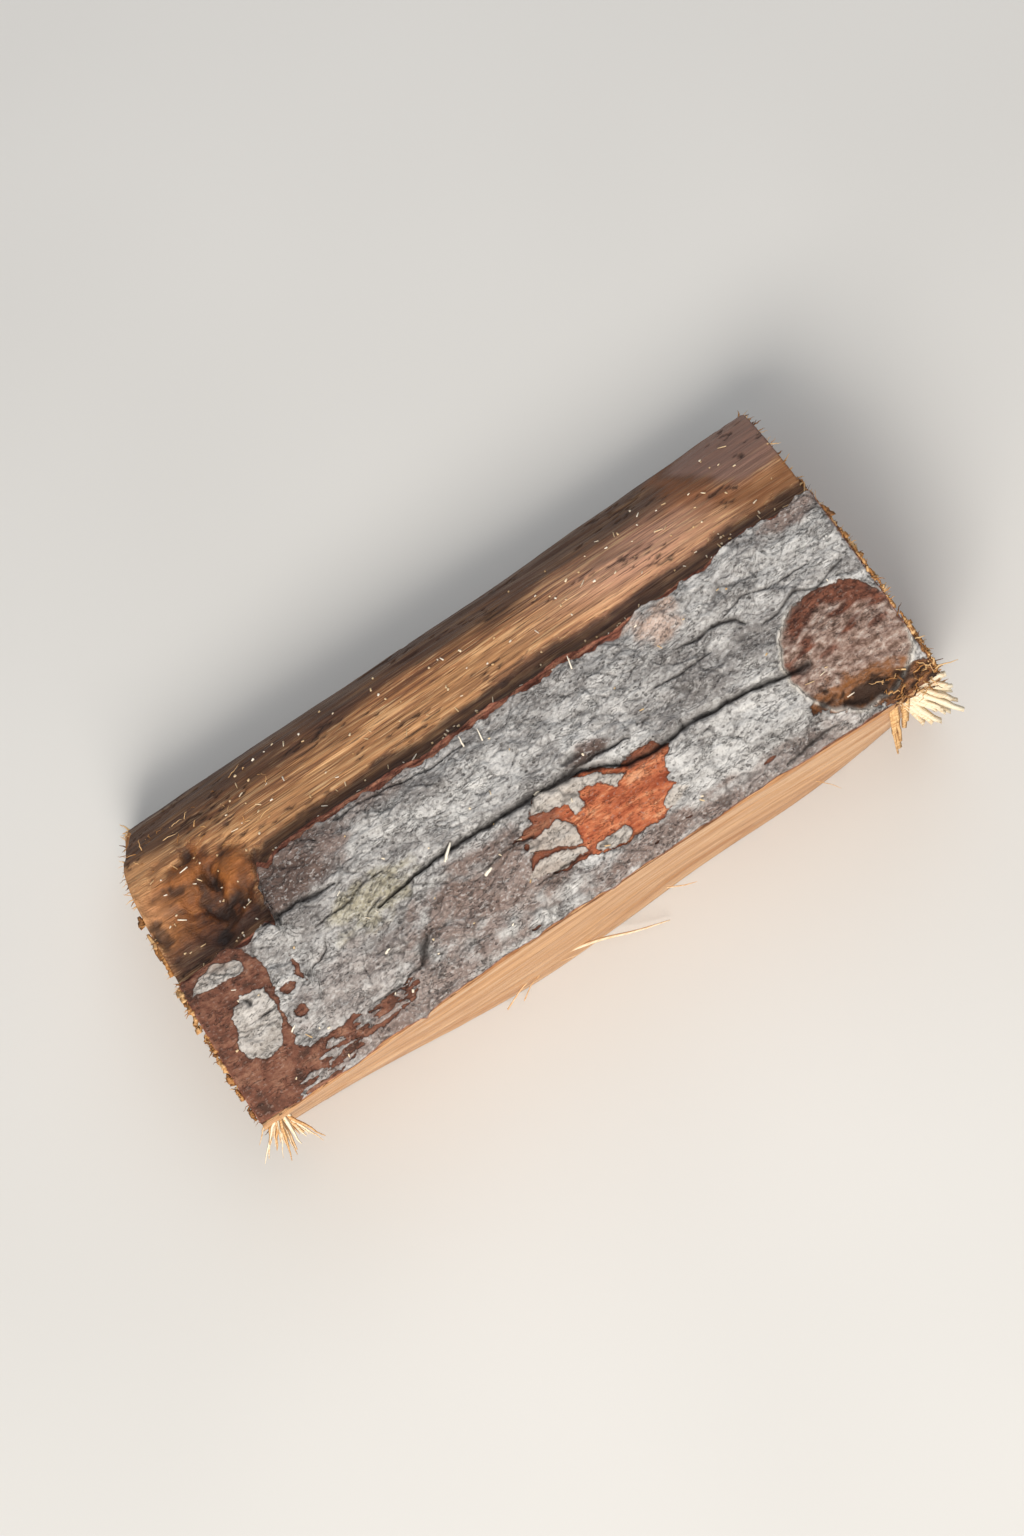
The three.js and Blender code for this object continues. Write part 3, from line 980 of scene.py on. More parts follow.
# %% Distances to routes and outlines
rag_along = along + 0.9 * rough(along / 4, across / 4, 81, 3)  # the places that ragged outlines use
rag_across = across + 0.7 * rough(along / 4, across / 3.4, 83, 3)


def route_distance(along, across, route):
    """How far each place is from a route of straight stretches."""
    nearest = np.full(along.shape, np.inf)
    for (a0, c0), (a1, c1) in zip(route, route[1:]):
        da, dc = a1 - a0, c1 - c0
        share = np.clip(((along - a0) * da + (across - c0) * dc) / (da * da + dc * dc), 0, 1)
        nearest = np.minimum(nearest, np.hypot(along - a0 - share * da, across - c0 - share * dc))
    return nearest


def outline_distance(outline):
    """How far each place is from a closed ragged outline, below zero inside it."""
    route = outline + outline[:1]
    within = np.zeros(along.shape, bool)
    for (a0, c0), (a1, c1) in zip(route, route[1:]):
        level = (c0 > rag_across) != (c1 > rag_across)
        rise = c1 - c0 if c1 != c0 else 1
        within ^= level & (rag_along < (a1 - a0) * (rag_across - c0) / rise + a0)
    distance = route_distance(rag_along, rag_across, route)
    return np.where(within, -distance, distance)


def ovals_distance(ovals):
    """The same, roughly, for several ovals, each given as its middle and its two radii."""
    nearest = np.full(along.shape, np.inf)
    for a, c, long_radius, wide_radius in ovals:
        out = np.hypot((rag_along - a) / long_radius, (rag_across - c) / wide_radius)
        nearest = np.minimum(nearest, (out - 1) * min(long_radius, wide_radius))
    return nearest


def patches(spots, seed):
    """Soft blotches with ragged borders, from 0 to 1."""
    total = np.zeros(along.shape)
    for a, c, long_radius, wide_radius, strength in spots:
        out = ((along - a) / long_radius) ** 2 + ((across - c) / wide_radius) ** 2
        ragged = out + 0.9 * rough(along / 8, across / 5, seed, 4)
        total = np.maximum(total, strength * step(ragged, 1.7, 0.1))
    return total


rust, left_bare = outline_distance(RUST), outline_distance(LEFT_BARE)
flakes = [outline_distance(flake) for flake in RUST_FLAKES]
islands = [outline_distance(island) for island in (DISC, END_FLAKE)]
scar = np.hypot(along - BRANCH_SCAR["along"], across - BRANCH_SCAR["across"]) - BRANCH_SCAR["radius"]
scar += 0.8 * rough(along / 6, across / 6, 85, 3)
openings, pits, scar_hole, cavity = map(ovals_distance, (OPENINGS, PITS, SCAR_HOLE, [CAVITY]))
cavity += 0.8 * rough(along / 3, across / 2, 110, 3)
scar_hole += 0.9 * rough(along / 3, across / 3, 86, 3)
scuffs = 2.2 - 9 * (rough(along / 11, across / 4, 87, 4) - 0.75)  # small places where the skin is thin
scuffs = np.maximum(scuffs, 6 * (across - 17) / 17)  # only low on the bark
print("flaked share:", round(float((np.minimum(left_bare, rust) < 0).mean()), 3))

# %% Relief of the bark
SKIN_THICKNESS = 0.5
RUST_DEPTH, OPENING_DEPTH, PIT_DEPTH = 0.55, 0.6, 1.5
SCAR_RIM_HEIGHT, SCAR_DEPTH, SCAR_HOLE_DEPTH, CAVITY_DEPTH = 0.55, 0.7, 2.2, 1.6
skin = np.minimum.reduce([left_bare, rust, scar, scuffs, openings, scar_hole - 0.6])
leftovers = 3.5 * (rough(along / 7, across / 2.2, 88, 4) - 0.12) - 6 * step(along, 70, 76)
leftovers -= 4 * step(along - 2 * across, 14, 0)
skin = np.maximum.reduce([skin, leftovers - 4 * step(across, 11, 14)] + [-o for o in islands + flakes])
in_skin = step(skin, -0.3, 0.3)
warp = 1.6 * rough(along / 9, across / 9, 89, 2)
swells = 0.6 * rough(along / 42, across / 15, 91, 3)
layers = 3.6 * rough(along / 17 + warp / 9, across / 9 + warp / 9, 93, 4)
terraces = 0.34 * (np.floor(layers) + step(layers - np.floor(layers), 0.72, 1.0))
terrace_foot = step(abs(layers - np.floor(layers) - 0.72), 0.12, 0.0)
border_gap, plate = plates((along + 2.2 * warp) / 10, (across - 1.4 * warp) / 6.5, 141)
shown = step(noise(along / 15, across / 9, 144), -0.15, 0.2)
plate_line = step(border_gap, 0.13, 0.0) * shown
broken_line = step(noise(along / 13, across / 9, 95), 0.05, -0.3) * 0.4
fissures = step(abs(noise(along / 8 + warp / 5, across / 3.6 + warp / 3, 97)) + broken_line, 0.09, 0.0)
dimples = step(noise(along / 1.9, across / 1.5, 98), 0.55, 0.8)
dimples = dimples * step(noise(along / 14, across / 9, 94), -0.2, 0.5)
grit = 0.15 * rough(along / 1.7, across / 1.3, 99, 2)
crack = np.zeros(along.shape)
crack_depth = np.zeros(along.shape)
wander_across = across + 0.5 * rough(along / 7, across / 7, 101, 3)
for depth, route in CRACKS:
    points = np.array(route)
    width = np.interp(along, points[:, 0], points[:, 2]) * (1 + 0.5 * rough_line(along / 5, 103, 2))
    profile = np.exp(-((route_distance(along, wander_across, points[:, :2].tolist()) / width) ** 2))
    crack = np.maximum(crack, profile)
    crack_depth = np.maximum(crack_depth, depth * profile)

flaking = terraces + 0.35 * plate * shown - 0.45 * plate_line - 0.4 * fissures - 0.45 * dimples
bark_relief = swells + grit + (SKIN_THICKNESS + flaking) * in_skin
bark_relief -= RUST_DEPTH * inside(rust) * (1 - in_skin)
bark_relief += SCAR_RIM_HEIGHT * mound(scar, 0.4, 0.8)
bark_relief += step(scar, 0.3, -0.8) * (0.9 * rough(along / 7, across / 5, 105, 4) - SCAR_DEPTH)
bark_relief -= OPENING_DEPTH * inside(openings, 0.35) + PIT_DEPTH * inside(pits, 0.5)
bark_relief -= SCAR_HOLE_DEPTH * step(scar_hole, 0.8, -1.5) + CAVITY_DEPTH * step(cavity, 0.6, -1.2)
bark_relief -= crack_depth
print("bark relief from", bark_relief.min().round(1), "to", bark_relief.max().round(1), "mm")


# %% Edges of the bark
LEDGE, LEDGE_DROP = 3.2, 1.4  # the inner bark reaches past the outer bark as a ledge
ROUNDED_LOWER, ROUNDED_END = 0.9, 0.8  # how far the bark's other edges are worn down
THINNEST = 0.5  # the bark is at least this thick
edge_noise = 0.7 * rough(along / 6, across / 3, 111, 3)
ledge_width = LEDGE + 2.4 * rough_line(along / 12, 112, 3) - 2.0 * step(along, 44, 34)
ledge_width -= 2.2 * step(along, 160, 190)
on_ledge = step(from_upper + 0.5 * edge_noise, ledge_width + 0.5, ledge_width - 0.5)
curl = 0.8 * np.exp(-from_upper / 7) * step(noise(along / 24, along * 0, 113), -0.5, 0.6)
bark_relief = (bark_relief + curl) * (1 - on_ledge) + (0.4 * edge_noise - LEDGE_DROP) * on_ledge
bark_relief -= ROUNDED_LOWER * step(from_lower + 0.5 * edge_noise, 1.1, 0.0)
bark_relief -= ROUNDED_END * step(from_end + 0.8 * edge_noise, 1.2, 0.0)
bark_relief = np.maximum(bark_relief, THINNEST - BARK_TOP)
side = np.maximum.reduce([on_ledge, step(from_lower, 0.5, 0.0), step(from_end, 0.6, 0.1)])
bark_top = bark_base + bark_normal * (BARK_TOP + bark_relief)[..., None]
print("bark top at", bark_top[..., 2].max().round(1), "mm")


# %% Bark piece
WALL_ROWS = 5
UNDERCUT = 0.8


def border(grid):
    """The outermost points of a grid in order, ending on the one it started with."""
    sides = [grid[:-1, 0], grid[-1, :-1], grid[:0:-1, -1], grid[0, :0:-1], grid[:1, 0]]
    return np.concatenate(sides)


def add_thinning(net, fine, coarse, fine_places, coarse_places):
    """Joins a ring of points to a ring with a quarter as many."""
    start = np.arange(0, len(fine) - 1, COARSER)
    group = np.arange(len(coarse) - 1)
    sets = [(start, start + 1, group), (start + 1, start + 2, group), (start + 2, start + 3, group + 1)]
    sets.append((start + 3, start + 4, group + 1))
    for a, b, c in sets:
        places = np.stack([fine_places[a], fine_places[b], coarse_places[c]], axis=1)
        net.add_faces(np.stack([fine[a], fine[b], coarse[c]], axis=1), places)
    places = np.stack([fine_places[start + 2], coarse_places[group + 1], coarse_places[group]], axis=1)
    net.add_faces(np.stack([fine[start + 2], coarse[group + 1], coarse[group]], axis=1), places)


scar_top = step(across + 1.2 * warp, 30.5, 34.5) * step(-scar, 7, 5) * step(along, 214, 221)
scar_streaks = step(noise(along / 9, across / 3, 107), 0.0, 0.45) * step(across, 18, 29)
# Painted shade: cracks, pits, the scar's hole, dimples and the feet of steps and plate borders are darkened
# as if in shadow.
dark_lines = np.maximum.reduce([0.6 * fissures, 0.35 * terrace_foot, 0.6 * plate_line]) * in_skin
hole_shade = 0.9 * step(scar_hole, 0.6, -1.6) * step(noise(along / 4.5, across / 2.2, 108), 0.4, -0.1)
cavity_shade = 0.95 * step(cavity, 0.4, -1.2)
hollows = [crack, step(pits, 0.3, -0.4) * 0.8, hole_shade, cavity_shade, 0.6 * dimples * in_skin]
bark_net = Net()
top_numbers = bark_net.add_points(
    bark_top,
    skin=skin,
    rust=inside(rust),
    far_rust=np.maximum(step(along + warp, 132, 126), step(along + warp, 153, 156) * step(across, 27, 29)),
    chalk=np.maximum(inside(np.minimum.reduce(flakes)), 0.6 * inside(np.minimum(*islands))),
    scar=inside(np.minimum(scar, scar_hole - 0.6), 0.4),
    # a painted highlight on the lit side of the scar's raised rim
    scar_line=mound(scar, 0.2, 0.65) * step(across + 0.4 * along, 137, 122),
    scar_red=np.maximum(scar_top, scar_streaks),
    scar_ochre=step(scar_hole + 2 * rough(along / 4, across / 3, 109, 3), 4, 0.5),
    # painted shade in cracks, pits, holes and along step edges
    deep=np.maximum.reduce(hollows + [dark_lines]),
    side=side,
    plate=plate,
    pale=patches(PALE_PATCHES, 121),
    brown=patches(BROWN_STAINS, 122),
    dark=patches(DARK_PATCHES, 123),
    shade=patches(SHADES, 127),
    ochre=patches([(66, 40, 14, 8, 1)], 124),
    peach=patches([(187, 63, 8, 6, 1), (178, 70, 6, 3, 0.5)], 125),
)
top_places = np.stack([0.01 + 0.98 * along / (2 * HALF), 0.01 + 0.6 * across / across.max()], axis=2)
bark_net.add_grid(top_numbers, top_places)

under = bark_base[::COARSER, ::COARSER] - bark_normal[::COARSER, ::COARSER] * SINK
under_numbers = bark_net.add_points(under, side=1.0)
under_places = top_places[::COARSER, ::COARSER] * (1, 0.4) + (0, 0.62)
bark_net.add_grid(under_numbers, under_places)

rim_top, rim_foot = border(bark_top), border(bark_base - bark_normal * SINK / 2)
inward = np.zeros(bark_base.shape)
inward[:, -1] = bark_base[:, -2] - bark_base[:, -1]
inward = border(inward / np.maximum(np.linalg.norm(inward, axis=2, keepdims=True), 1e-9))
rim_length = np.append(0, np.cumsum(np.linalg.norm(np.diff(rim_foot, axis=0), axis=1)))
wall_share = np.linspace(0, 1, WALL_ROWS + 1)[1:, None, None]
wall = rim_top + (rim_foot - rim_top) * wall_share + inward * UNDERCUT * np.sin(wall_share * math.pi / 2)
ledges = 0.3 * rough(rim_length / 9, rim_length * 0 + wall_share[..., 0] * 2.5, 115, 3)
out_x = np.sign(rim_foot[:, 0]) * (abs(rim_foot[:, 0]) > HALF - 4)
wall[:-1, :, 0] -= abs(ledges[:-1]) * out_x
wall_numbers = closed_up(bark_net.add_points(wall[:, :-1], side=1.0))
wall_numbers = np.concatenate([border(top_numbers)[None], wall_numbers])
wall_u = 0.01 + 0.98 * rim_length / rim_length[-1]
wall_v = np.linspace(0.88, 0.96, WALL_ROWS + 1)[:, None]
wall_places = np.stack(np.broadcast_arrays(wall_u, wall_v), axis=2)
bark_net.add_grid(wall_numbers, wall_places)
under_border_places = wall_places[-1][::COARSER] + (0, 0.02)
add_thinning(bark_net, wall_numbers[-1], border(under_numbers), wall_places[-1], under_border_places)


# %% [markdown]
# ## Finish of the bark
# The grey skin is mottled and pitted, paler on high flakes and brown where the skin wears thin, with
# faint curved lines like those of a map. Where it has come off, the bark is purple-brown, or rust-red
# in the middle patch. The edge of the skin is sharp, so the mesh carries a smooth distance to that
# edge, and the finish decides which side a place is on with fine noise added. Cracks, pits, holes and
# the feet of steps get painted shade, and one side of the scar's rim gets a painted highlight.

# %% Grey skin
def contour_lines(recipe):
    """Faint curved lines like those of a map, in places."""
    count = recipe.times(recipe.clouds((26, 11, 11), 3, 0.5, 0.6), 14)
    line = recipe.ease(recipe.calc("FRACT", count), 0.7, 0.95)
    return recipe.times(line, recipe.ease(recipe.clouds((18, 9, 9), 2), 0.44, 0.56))


def small_marks(recipe, blotch):
    """Hair cracks in places, and small pits where the skin is dark."""
    hairs = recipe.ease(recipe.off(recipe.clouds((4.5, 1.5, 1.5), 2, 0.5, 0.8), 0.5), 0.03, 0.0)
    hairs = recipe.times(hairs, recipe.ease(recipe.clouds((9, 5, 5), 2), 0.48, 0.58))
    pits = recipe.ease(recipe.cells((2.4, 1.8, 1.8)), 0.3, 0.14)
    return recipe.calc("MAXIMUM", hairs, recipe.times(pits, recipe.ease(blotch, 0.58, 0.44)))


def grey_skin(recipe, blotch, fine, contours, marks):
    """The colour of the weathered outer skin."""
    return recipe.paint(
        recipe.ramp(blotch, (0.34, "#85807d"), (0.45, "#a5a19d"), (0.54, "#bcb8b4"), (0.66, "#d4d0cb")),
        ("#807a76", recipe.ease(recipe.clouds((26, 12, 12), 4), 0.5, 0.38), 0.6),  # broad shade
        ("#6f6a67", recipe.ease(recipe.value("plate"), 0.4, 0.0), 0.3),
        ("#e4e1dc", recipe.ease(recipe.value("plate"), 0.6, 1.0), 0.3),
        ("#e0ddd8", "pale", 0.5),
        ("#6b6562", "dark", 0.55),
        ("#aba078", "ochre", 0.5),
        ("#d5a789", "peach", 0.5),
        ("#7d6154", "brown", 0.75),
        ("#4c3830", "shade", 0.8),
        ("#5f5956", contours, 0.45),
        ("#423a36", marks, 0.52),
        ("#dedcd8", recipe.ease(fine, 0.52, 0.68), 0.4),  # pale grit
        ("#5a5451", recipe.ease(fine, 0.48, 0.34), 0.42),  # dark grit
        ("#c9bdb0", "chalk", 0.6),
    )


# %% Bark under the skin
def bare_bark(recipe, blotch, fine):
    """The colour where the skin is off: purple-brown, rust-red in the middle, healed at the scar."""
    streaks, veins = recipe.clouds((11, 3, 3), 5, 0.65), recipe.clouds((3, 2, 2), 4, 0.65)
    brown = recipe.ramp(blotch, (0.34, "#452a1e"), (0.5, "#704534"), (0.66, "#926852"))
    red = recipe.paint(
        recipe.ramp(streaks, (0.36, "#8a3f22"), (0.46, "#ab5a38"), (0.55, "#c07049"), (0.66, "#d99a72")),
        ("#6d2e18", recipe.ease(veins, 0.46, 0.36), 0.6),
        ("#6e4231", "far_rust", 0.75),
    )
    healed = recipe.paint(
        recipe.ramp(veins, (0.36, "#5c4539"), (0.48, "#8d7366"), (0.57, "#a69084"), (0.67, "#c0b0a4")),
        (recipe.ramp(veins, (0.42, "#3f1c0f"), (0.6, "#743c23")), "scar_red", 0.92),
        ("#85501f", "scar_ochre", 0.8),
    )
    bare = recipe.mix(recipe.value("scar"), recipe.mix(recipe.value("rust"), brown, red), healed)
    return recipe.paint(bare, ("#a58d80", recipe.ease(fine, 0.56, 0.68), 0.35))


# %% Bark finish
def bark_finish():
    recipe = Recipe("bark")
    blotch, fine = recipe.clouds((6.5, 4.2, 4.2), 5, 0.65), recipe.clouds((1.4, 0.9, 0.9), 3, 0.6)
    contours, marks = contour_lines(recipe), small_marks(recipe, blotch)
    wander = recipe.times(recipe.calc("SUBTRACT", fine, 0.5), 1.1)
    edge = recipe.calc("ADD", recipe.value("skin"), wander)  # above zero where the skin is on
    skin_colour = grey_skin(recipe, blotch, fine, contours, marks)
    colour = recipe.mix(recipe.ease(edge, -0.12, 0.12), bare_bark(recipe, blotch, fine), skin_colour)
    inner = recipe.clouds((8, 1.4, 1.0), 4)
    colour = recipe.paint(
        colour,
        ("#4a2c20", recipe.ease(recipe.off(edge, -0.2), 0.35, 0.05), 0.35),  # shade along the skin's edge
        # painted highlight on one side of the scar's rim
        ("#dcd4c8", "scar_line", 0.85),
        (recipe.ramp(inner, (0.36, "#532a1d"), (0.5, "#8f5440"), (0.64, "#bd8063")), "side", 1.0),
        # painted shade in the hollows, nearly black
        ("#1c1411", "deep", 0.92),
    )
    skin_edge = recipe.ease(edge, -0.2, 0.2)
    relief = recipe.relief((contours, -0.15), (marks, -0.45), (blotch, 0.45), (fine, 0.5), (skin_edge, 0.35))
    return recipe.serve(colour, recipe.ease(blotch, -1.8, 0.9), relief)


bark = bark_net.make("bark_slab", [bark_finish()])
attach(bark, "root")
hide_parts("bark")


# %% [markdown]
# ## Loose fibres
# A saw leaves a fringe of torn fibres round a log's ends. At this log's two lower corners the wood has
# split into a fan of straws and flat splinters. A few long slivers hang off the lower edge, thin torn
# fibres stand at the knocked-off corner, and sawdust lies on the bare wood. Each of them is a thin
# tapered bar along a route, and a seeded generator picks the places, so they come out the same each
# time.

# %% Fibres
FIBRE_STEPS = 7


def add_fibre(net, route, width, thickness, cell, tone, blunt):
    """Adds a closed bar along a route. cell is the corner and the size of its place on the map, and
    blunt is the share of its width that is left at its tip."""
    ahead = np.gradient(route, axis=0)
    ahead = ahead / np.linalg.norm(ahead, axis=1, keepdims=True)
    sideways = np.cross(ahead, (0.15, 0.1, 1.0))
    sideways = sideways / np.maximum(np.linalg.norm(sideways, axis=1, keepdims=True), 1e-6)
    over = np.cross(sideways, ahead)
    share = np.linspace(0, 1, len(route))
    taper = (1 - (1 - blunt) * share**1.5)[:, None, None] / 2
    around = np.stack([sideways * width, over * thickness, -sideways * width, -over * thickness], axis=1)
    numbers = closed_up(net.add_points(route[:, None] + around * taper, tone=tone))
    corner, size = np.array(cell[:2]), cell[2]
    across, down = np.meshgrid(np.linspace(0.05, 0.75, 5), 0.05 + 0.9 * share)
    net.add_grid(numbers, corner + size * np.stack([across, down], axis=2))
    turn = np.linspace(0, 2 * np.pi, 5)[:, None]
    diamond = np.concatenate([np.cos(turn), np.sin(turn)], axis=1)
    for row, height, outset in ((0, 0.3, -0.1), (-1, 0.7, 0.1)):
        hub_point = route[row] + ahead[row] * outset
        hub = net.add_points(hub_point[None], tone=tone)[0]
        hub_place = corner + size * np.array([0.88, height])
        net.add_fan(numbers[row], hub_place + size * 0.08 * diamond, hub, hub_place)


def cells(per_side):
    """The map's square places, one after another."""
    for number in range(per_side**2):
        yield ((number % per_side) / per_side, (number // per_side) / per_side, 1 / per_side)


def places_between(points, spots):
    """Points at fractional places along a row of points."""
    return np.stack([np.interp(spots, np.arange(len(points)), points[:, k]) for k in range(3)], axis=1)


def bent_route(start, end, bow, wobble, dice):
    """A route from start to end that bows up in the middle and strays a little."""
    share = np.linspace(0, 1, FIBRE_STEPS)[:, None]
    route = np.array(start) + (np.array(end) - np.array(start)) * share
    route[:, 2:] += bow * 4 * share * (1 - share)
    return route + dice.normal(0, wobble, (FIBRE_STEPS, 3)) * np.minimum(1, 3 * share)


def fibre_finish(name, dark, middle, light):
    recipe = Recipe(name)
    streaks = recipe.clouds((3, 0.5, 0.8), 3)
    tone = recipe.calc("ADD", recipe.value("tone"), recipe.calc("SUBTRACT", streaks, 0.5))
    colour = recipe.ramp(tone, (0.1, dark), (0.5, middle), (0.9, light))
    return recipe.serve(colour, 0.7, recipe.relief((streaks, 0.1)))


straw = fibre_finish("straw", "#a5703a", "#e3b47c", "#fbeccf")
torn = fibre_finish("torn_fibre", "#5a371c", "#b57c41", "#ecc48d")
dust = fibre_finish("sawdust", "#c79a63", "#e6cca2", "#fbf1de")


def finished(net, name, finish):
    """Makes a net of fibres and hands it to the frame."""
    piece = net.make(name, [finish])
    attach(piece, "root")


# %% Corner splinters
LEFT_CORNER = wood_points[2, FRONT_COLUMNS]
RIGHT_CORNER = wood_points[-6, FRONT_COLUMNS]
print("front corners:", LEFT_CORNER.round(1), RIGHT_CORNER.round(1))


def corner_splinters(name, roots, tips, widths, thickness, count, seed, blunt, tone):
    """A fan of splinters from a line of roots to a line of tips."""
    net, dice, place = Net(), np.random.default_rng(seed), cells(6)
    for number in range(count):
        share = (number + 0.6 * dice.random()) / count
        start = roots[0] + (roots[1] - roots[0]) * share + dice.normal(0, 0.5, 3)
        end = tips[0] + (tips[1] - tips[0]) * share + dice.normal(0, 1.4, 3)
        end = start + (end - start) * dice.uniform(0.6, 1.0) * (1 + 0.35 * math.sin(math.pi * share))
        route = bent_route(start, end, dice.uniform(-0.3, 1.2), 0.15, dice)
        width = dice.uniform(*widths)
        add_fibre(net, route, width, thickness, next(place), dice.uniform(tone, 1.0), blunt)
    finished(net, name, straw)


left_roots = LEFT_CORNER + np.array([[2.5, 2.0, -0.5], [6.0, 1.4, -7.0]])
left_tips = LEFT_CORNER + np.array([[-7.5, -6.0, -7.0], [11.0, -8.5, -20.0]])
corner_splinters("left_splinters", left_roots, left_tips, (0.7, 1.9), 0.5, 28, 201, 0.2, 0.4)
right_roots = RIGHT_CORNER + np.array([[-2.5, 2.2, 0.5], [-10.5, 1.6, -2.5]])
right_tips = RIGHT_CORNER + np.array([[8.5, -2.5, -2.0], [-5.5, -7.0, -17.0]])
corner_splinters("right_splinters", right_roots, right_tips, (1.3, 3.0), 0.5, 34, 202, 0.7, 0.75)

TANGLE_FIBRES = 64
strand_net, dice, place = Net(), np.random.default_rng(203), cells(9)
strand_start = RIGHT_CORNER + (-12.0, 2.5, 1.0)
for offset, width in ((0, 3.0), (1.6, 1.8), (-1.0, 1.2), (4.5, 2.6), (6.0, 2.2)):
    end = strand_start + (-5.0 + offset, -9.0 + 0.5 * offset, -26 + 2.4 * offset)
    route = bent_route(strand_start + (offset, 0, 0), end, 1.5, 0.2, dice)
    add_fibre(strand_net, route, width, 0.7, next(place), 0.75, 0.6)
for _ in range(TANGLE_FIBRES):  # the brown tangle above the splinters
    start = RIGHT_CORNER + dice.uniform((-13, -1.5, 0.5), (3, 8, 4.5))
    end = start + dice.normal(0, 1, 3) * (3.4, 2.4, 1.0) + (2.0, -1.5, 0)
    route = bent_route(start, end, dice.uniform(0.5, 2.4), 0.4, dice)
    add_fibre(strand_net, route, dice.uniform(0.3, 1.0), 0.35, next(place), dice.uniform(0.0, 0.9), 0.3)
finished(strand_net, "right_tangle", torn)


# %% Fringe of the sawn ends
FRINGE_REACH = 3.0
FRINGE_FIBRES, FRONT_FRINGE_FIBRES, WOOD_RIBBONS, BARK_RIBBONS = 70, 16, 10, 36


def add_fringe(net, rim, outward_x, count, place, dice):
    """Short torn fibres that stick out of a sawn end's rim."""
    for _ in range(count):
        start = rim[dice.integers(len(rim))] + (-0.8 * outward_x, 0, -dice.uniform(0, 2.5))
        reach = FRINGE_REACH * dice.uniform(0.25, 1.0) ** 1.5
        end = start + (outward_x * (0.8 + reach), dice.normal(0, 1.4), dice.normal(-0.3, 1.0))
        route = bent_route(start, end, dice.normal(0, 0.5), 0.12, dice)
        add_fibre(net, route, dice.uniform(0.25, 0.8), 0.3, next(place), dice.uniform(0.1, 1.0), 0.2)


def add_ribbons(net, rim, outward_x, count, place, dice):
    """Longer torn ribbons that lie along the rim of a sawn end."""
    for _ in range(count):
        first = dice.integers(len(rim) - 12)
        span = dice.integers(5, 12)
        route = places_between(rim, np.linspace(first, first + span, FIBRE_STEPS))
        route = route + (outward_x * dice.uniform(0.2, 0.9), 0, -dice.uniform(0, 1.5))
        route = route + dice.normal(0, 0.3, route.shape)
        add_fibre(net, route, dice.uniform(0.8, 2.6), 0.5, next(place), dice.uniform(0.2, 0.85), 0.4)


for name, seed, end_row, outward_x in (("left_fringe", 211, 0, -1), ("right_fringe", 212, -1, 1)):
    net, dice, place = Net(), np.random.default_rng(seed), cells(16)
    wood_rim = wood_points[end_row, FRONT_COLUMNS:first_foot]
    bare_rim, front_rim = wood_rim[COVERED_COLUMNS:], wood_points[end_row, 20:FRONT_COLUMNS]
    add_fringe(net, bare_rim, outward_x, FRINGE_FIBRES, place, dice)
    add_fringe(net, bark_top[end_row], outward_x, FRINGE_FIBRES, place, dice)
    add_fringe(net, front_rim, outward_x, FRONT_FRINGE_FIBRES, place, dice)
    add_ribbons(net, bare_rim[:60], outward_x, WOOD_RIBBONS, place, dice)
    add_ribbons(net, bark_top[end_row], outward_x, BARK_RIBBONS, place, dice)
    finished(net, name, torn)

# %% Hanging and torn fibres
hanging_net, dice, place = Net(), np.random.default_rng(221), cells(6)
foot_y = wood_low[1] + 3.0  # the front foot at mid-length
HANGING = [  # routes of (x, y past the front foot, z), then width and tone
    ([(-44, -2.6, 4), (-35, 0.4, 8), (-25, 0.6, 9), (-15, -1.2, 7)], 0.5, 0.6),
    ([(-38, -3.0, 3), (-33, -0.6, 7), (-26, 0.6, 9)], 0.4, 0.5),
    ([(-17, 0.8, 11), (-6, -1.6, 9), (4, -5.0, 6), (15, -7.6, 3.5)], 1.3, 0.8),
    ([(20, 0.6, 9), (25, -1.5, 7), (29, -2.8, 7)], 0.5, 0.6),
    ([(78, 0.9, 16), (82, -1.6, 10), (84, -3.2, 5)], 0.3, 0.5),
]
for points, width, tone in HANGING:
    corners = np.array(points, float) + (0, foot_y, 0)
    route = places_between(corners, np.linspace(0, len(corners) - 1, 2 * FIBRE_STEPS))
    route[1:-1] = (route[:-2] + route[1:-1] + route[2:]) / 3
    add_fibre(hanging_net, route, width, 0.45, next(place), tone, 0.3)
finished(hanging_net, "hanging_slivers", straw)

TORN_FIBRES = 44
torn_net, dice, place = Net(), np.random.default_rng(222), cells(7)
for _ in range(TORN_FIBRES):  # at the knocked-off corner
    row, column = dice.integers(4, 60), FRONT_COLUMNS + COVERED_COLUMNS + dice.integers(62, 96)
    start = wood_points[row, column]
    lean = np.array([dice.normal(1, 3), dice.normal(-1.5, 2), dice.normal(0, 1)])
    end = start + wood_normal[row, column] * dice.uniform(0.3, 1.8) + lean
    route = bent_route(start, end, dice.uniform(0, 0.8), 0.15, dice)
    add_fibre(torn_net, route, dice.uniform(0.2, 0.5), 0.2, next(place), dice.uniform(0.3, 1.0), 0.2)
finished(torn_net, "torn_fibres", torn)

# %% Sawdust
CRUMBS = 256
LONG_CRUMBS = 0.25  # the share of them that are long


def crumb_spot(dice, number):
    """A place and a normal for a crumb: most lie on the bare wood, some in the gutter or on the bark."""
    row = dice.integers(8, WOOD_ROWS - 8)
    if number % 5 == 0:
        bark_row, column = dice.integers(8, BARK_ROWS - 8), dice.integers(10, BARK_COLUMNS - 6)
        return bark_top[bark_row, column], bark_normal[bark_row, column]
    first = int(np.argmax(past_edge[row] > 0.6))
    width = 6 if number % 5 == 1 else 58
    column = first + dice.integers(0, width)
    return wood_points[row, column], wood_normal[row, column]


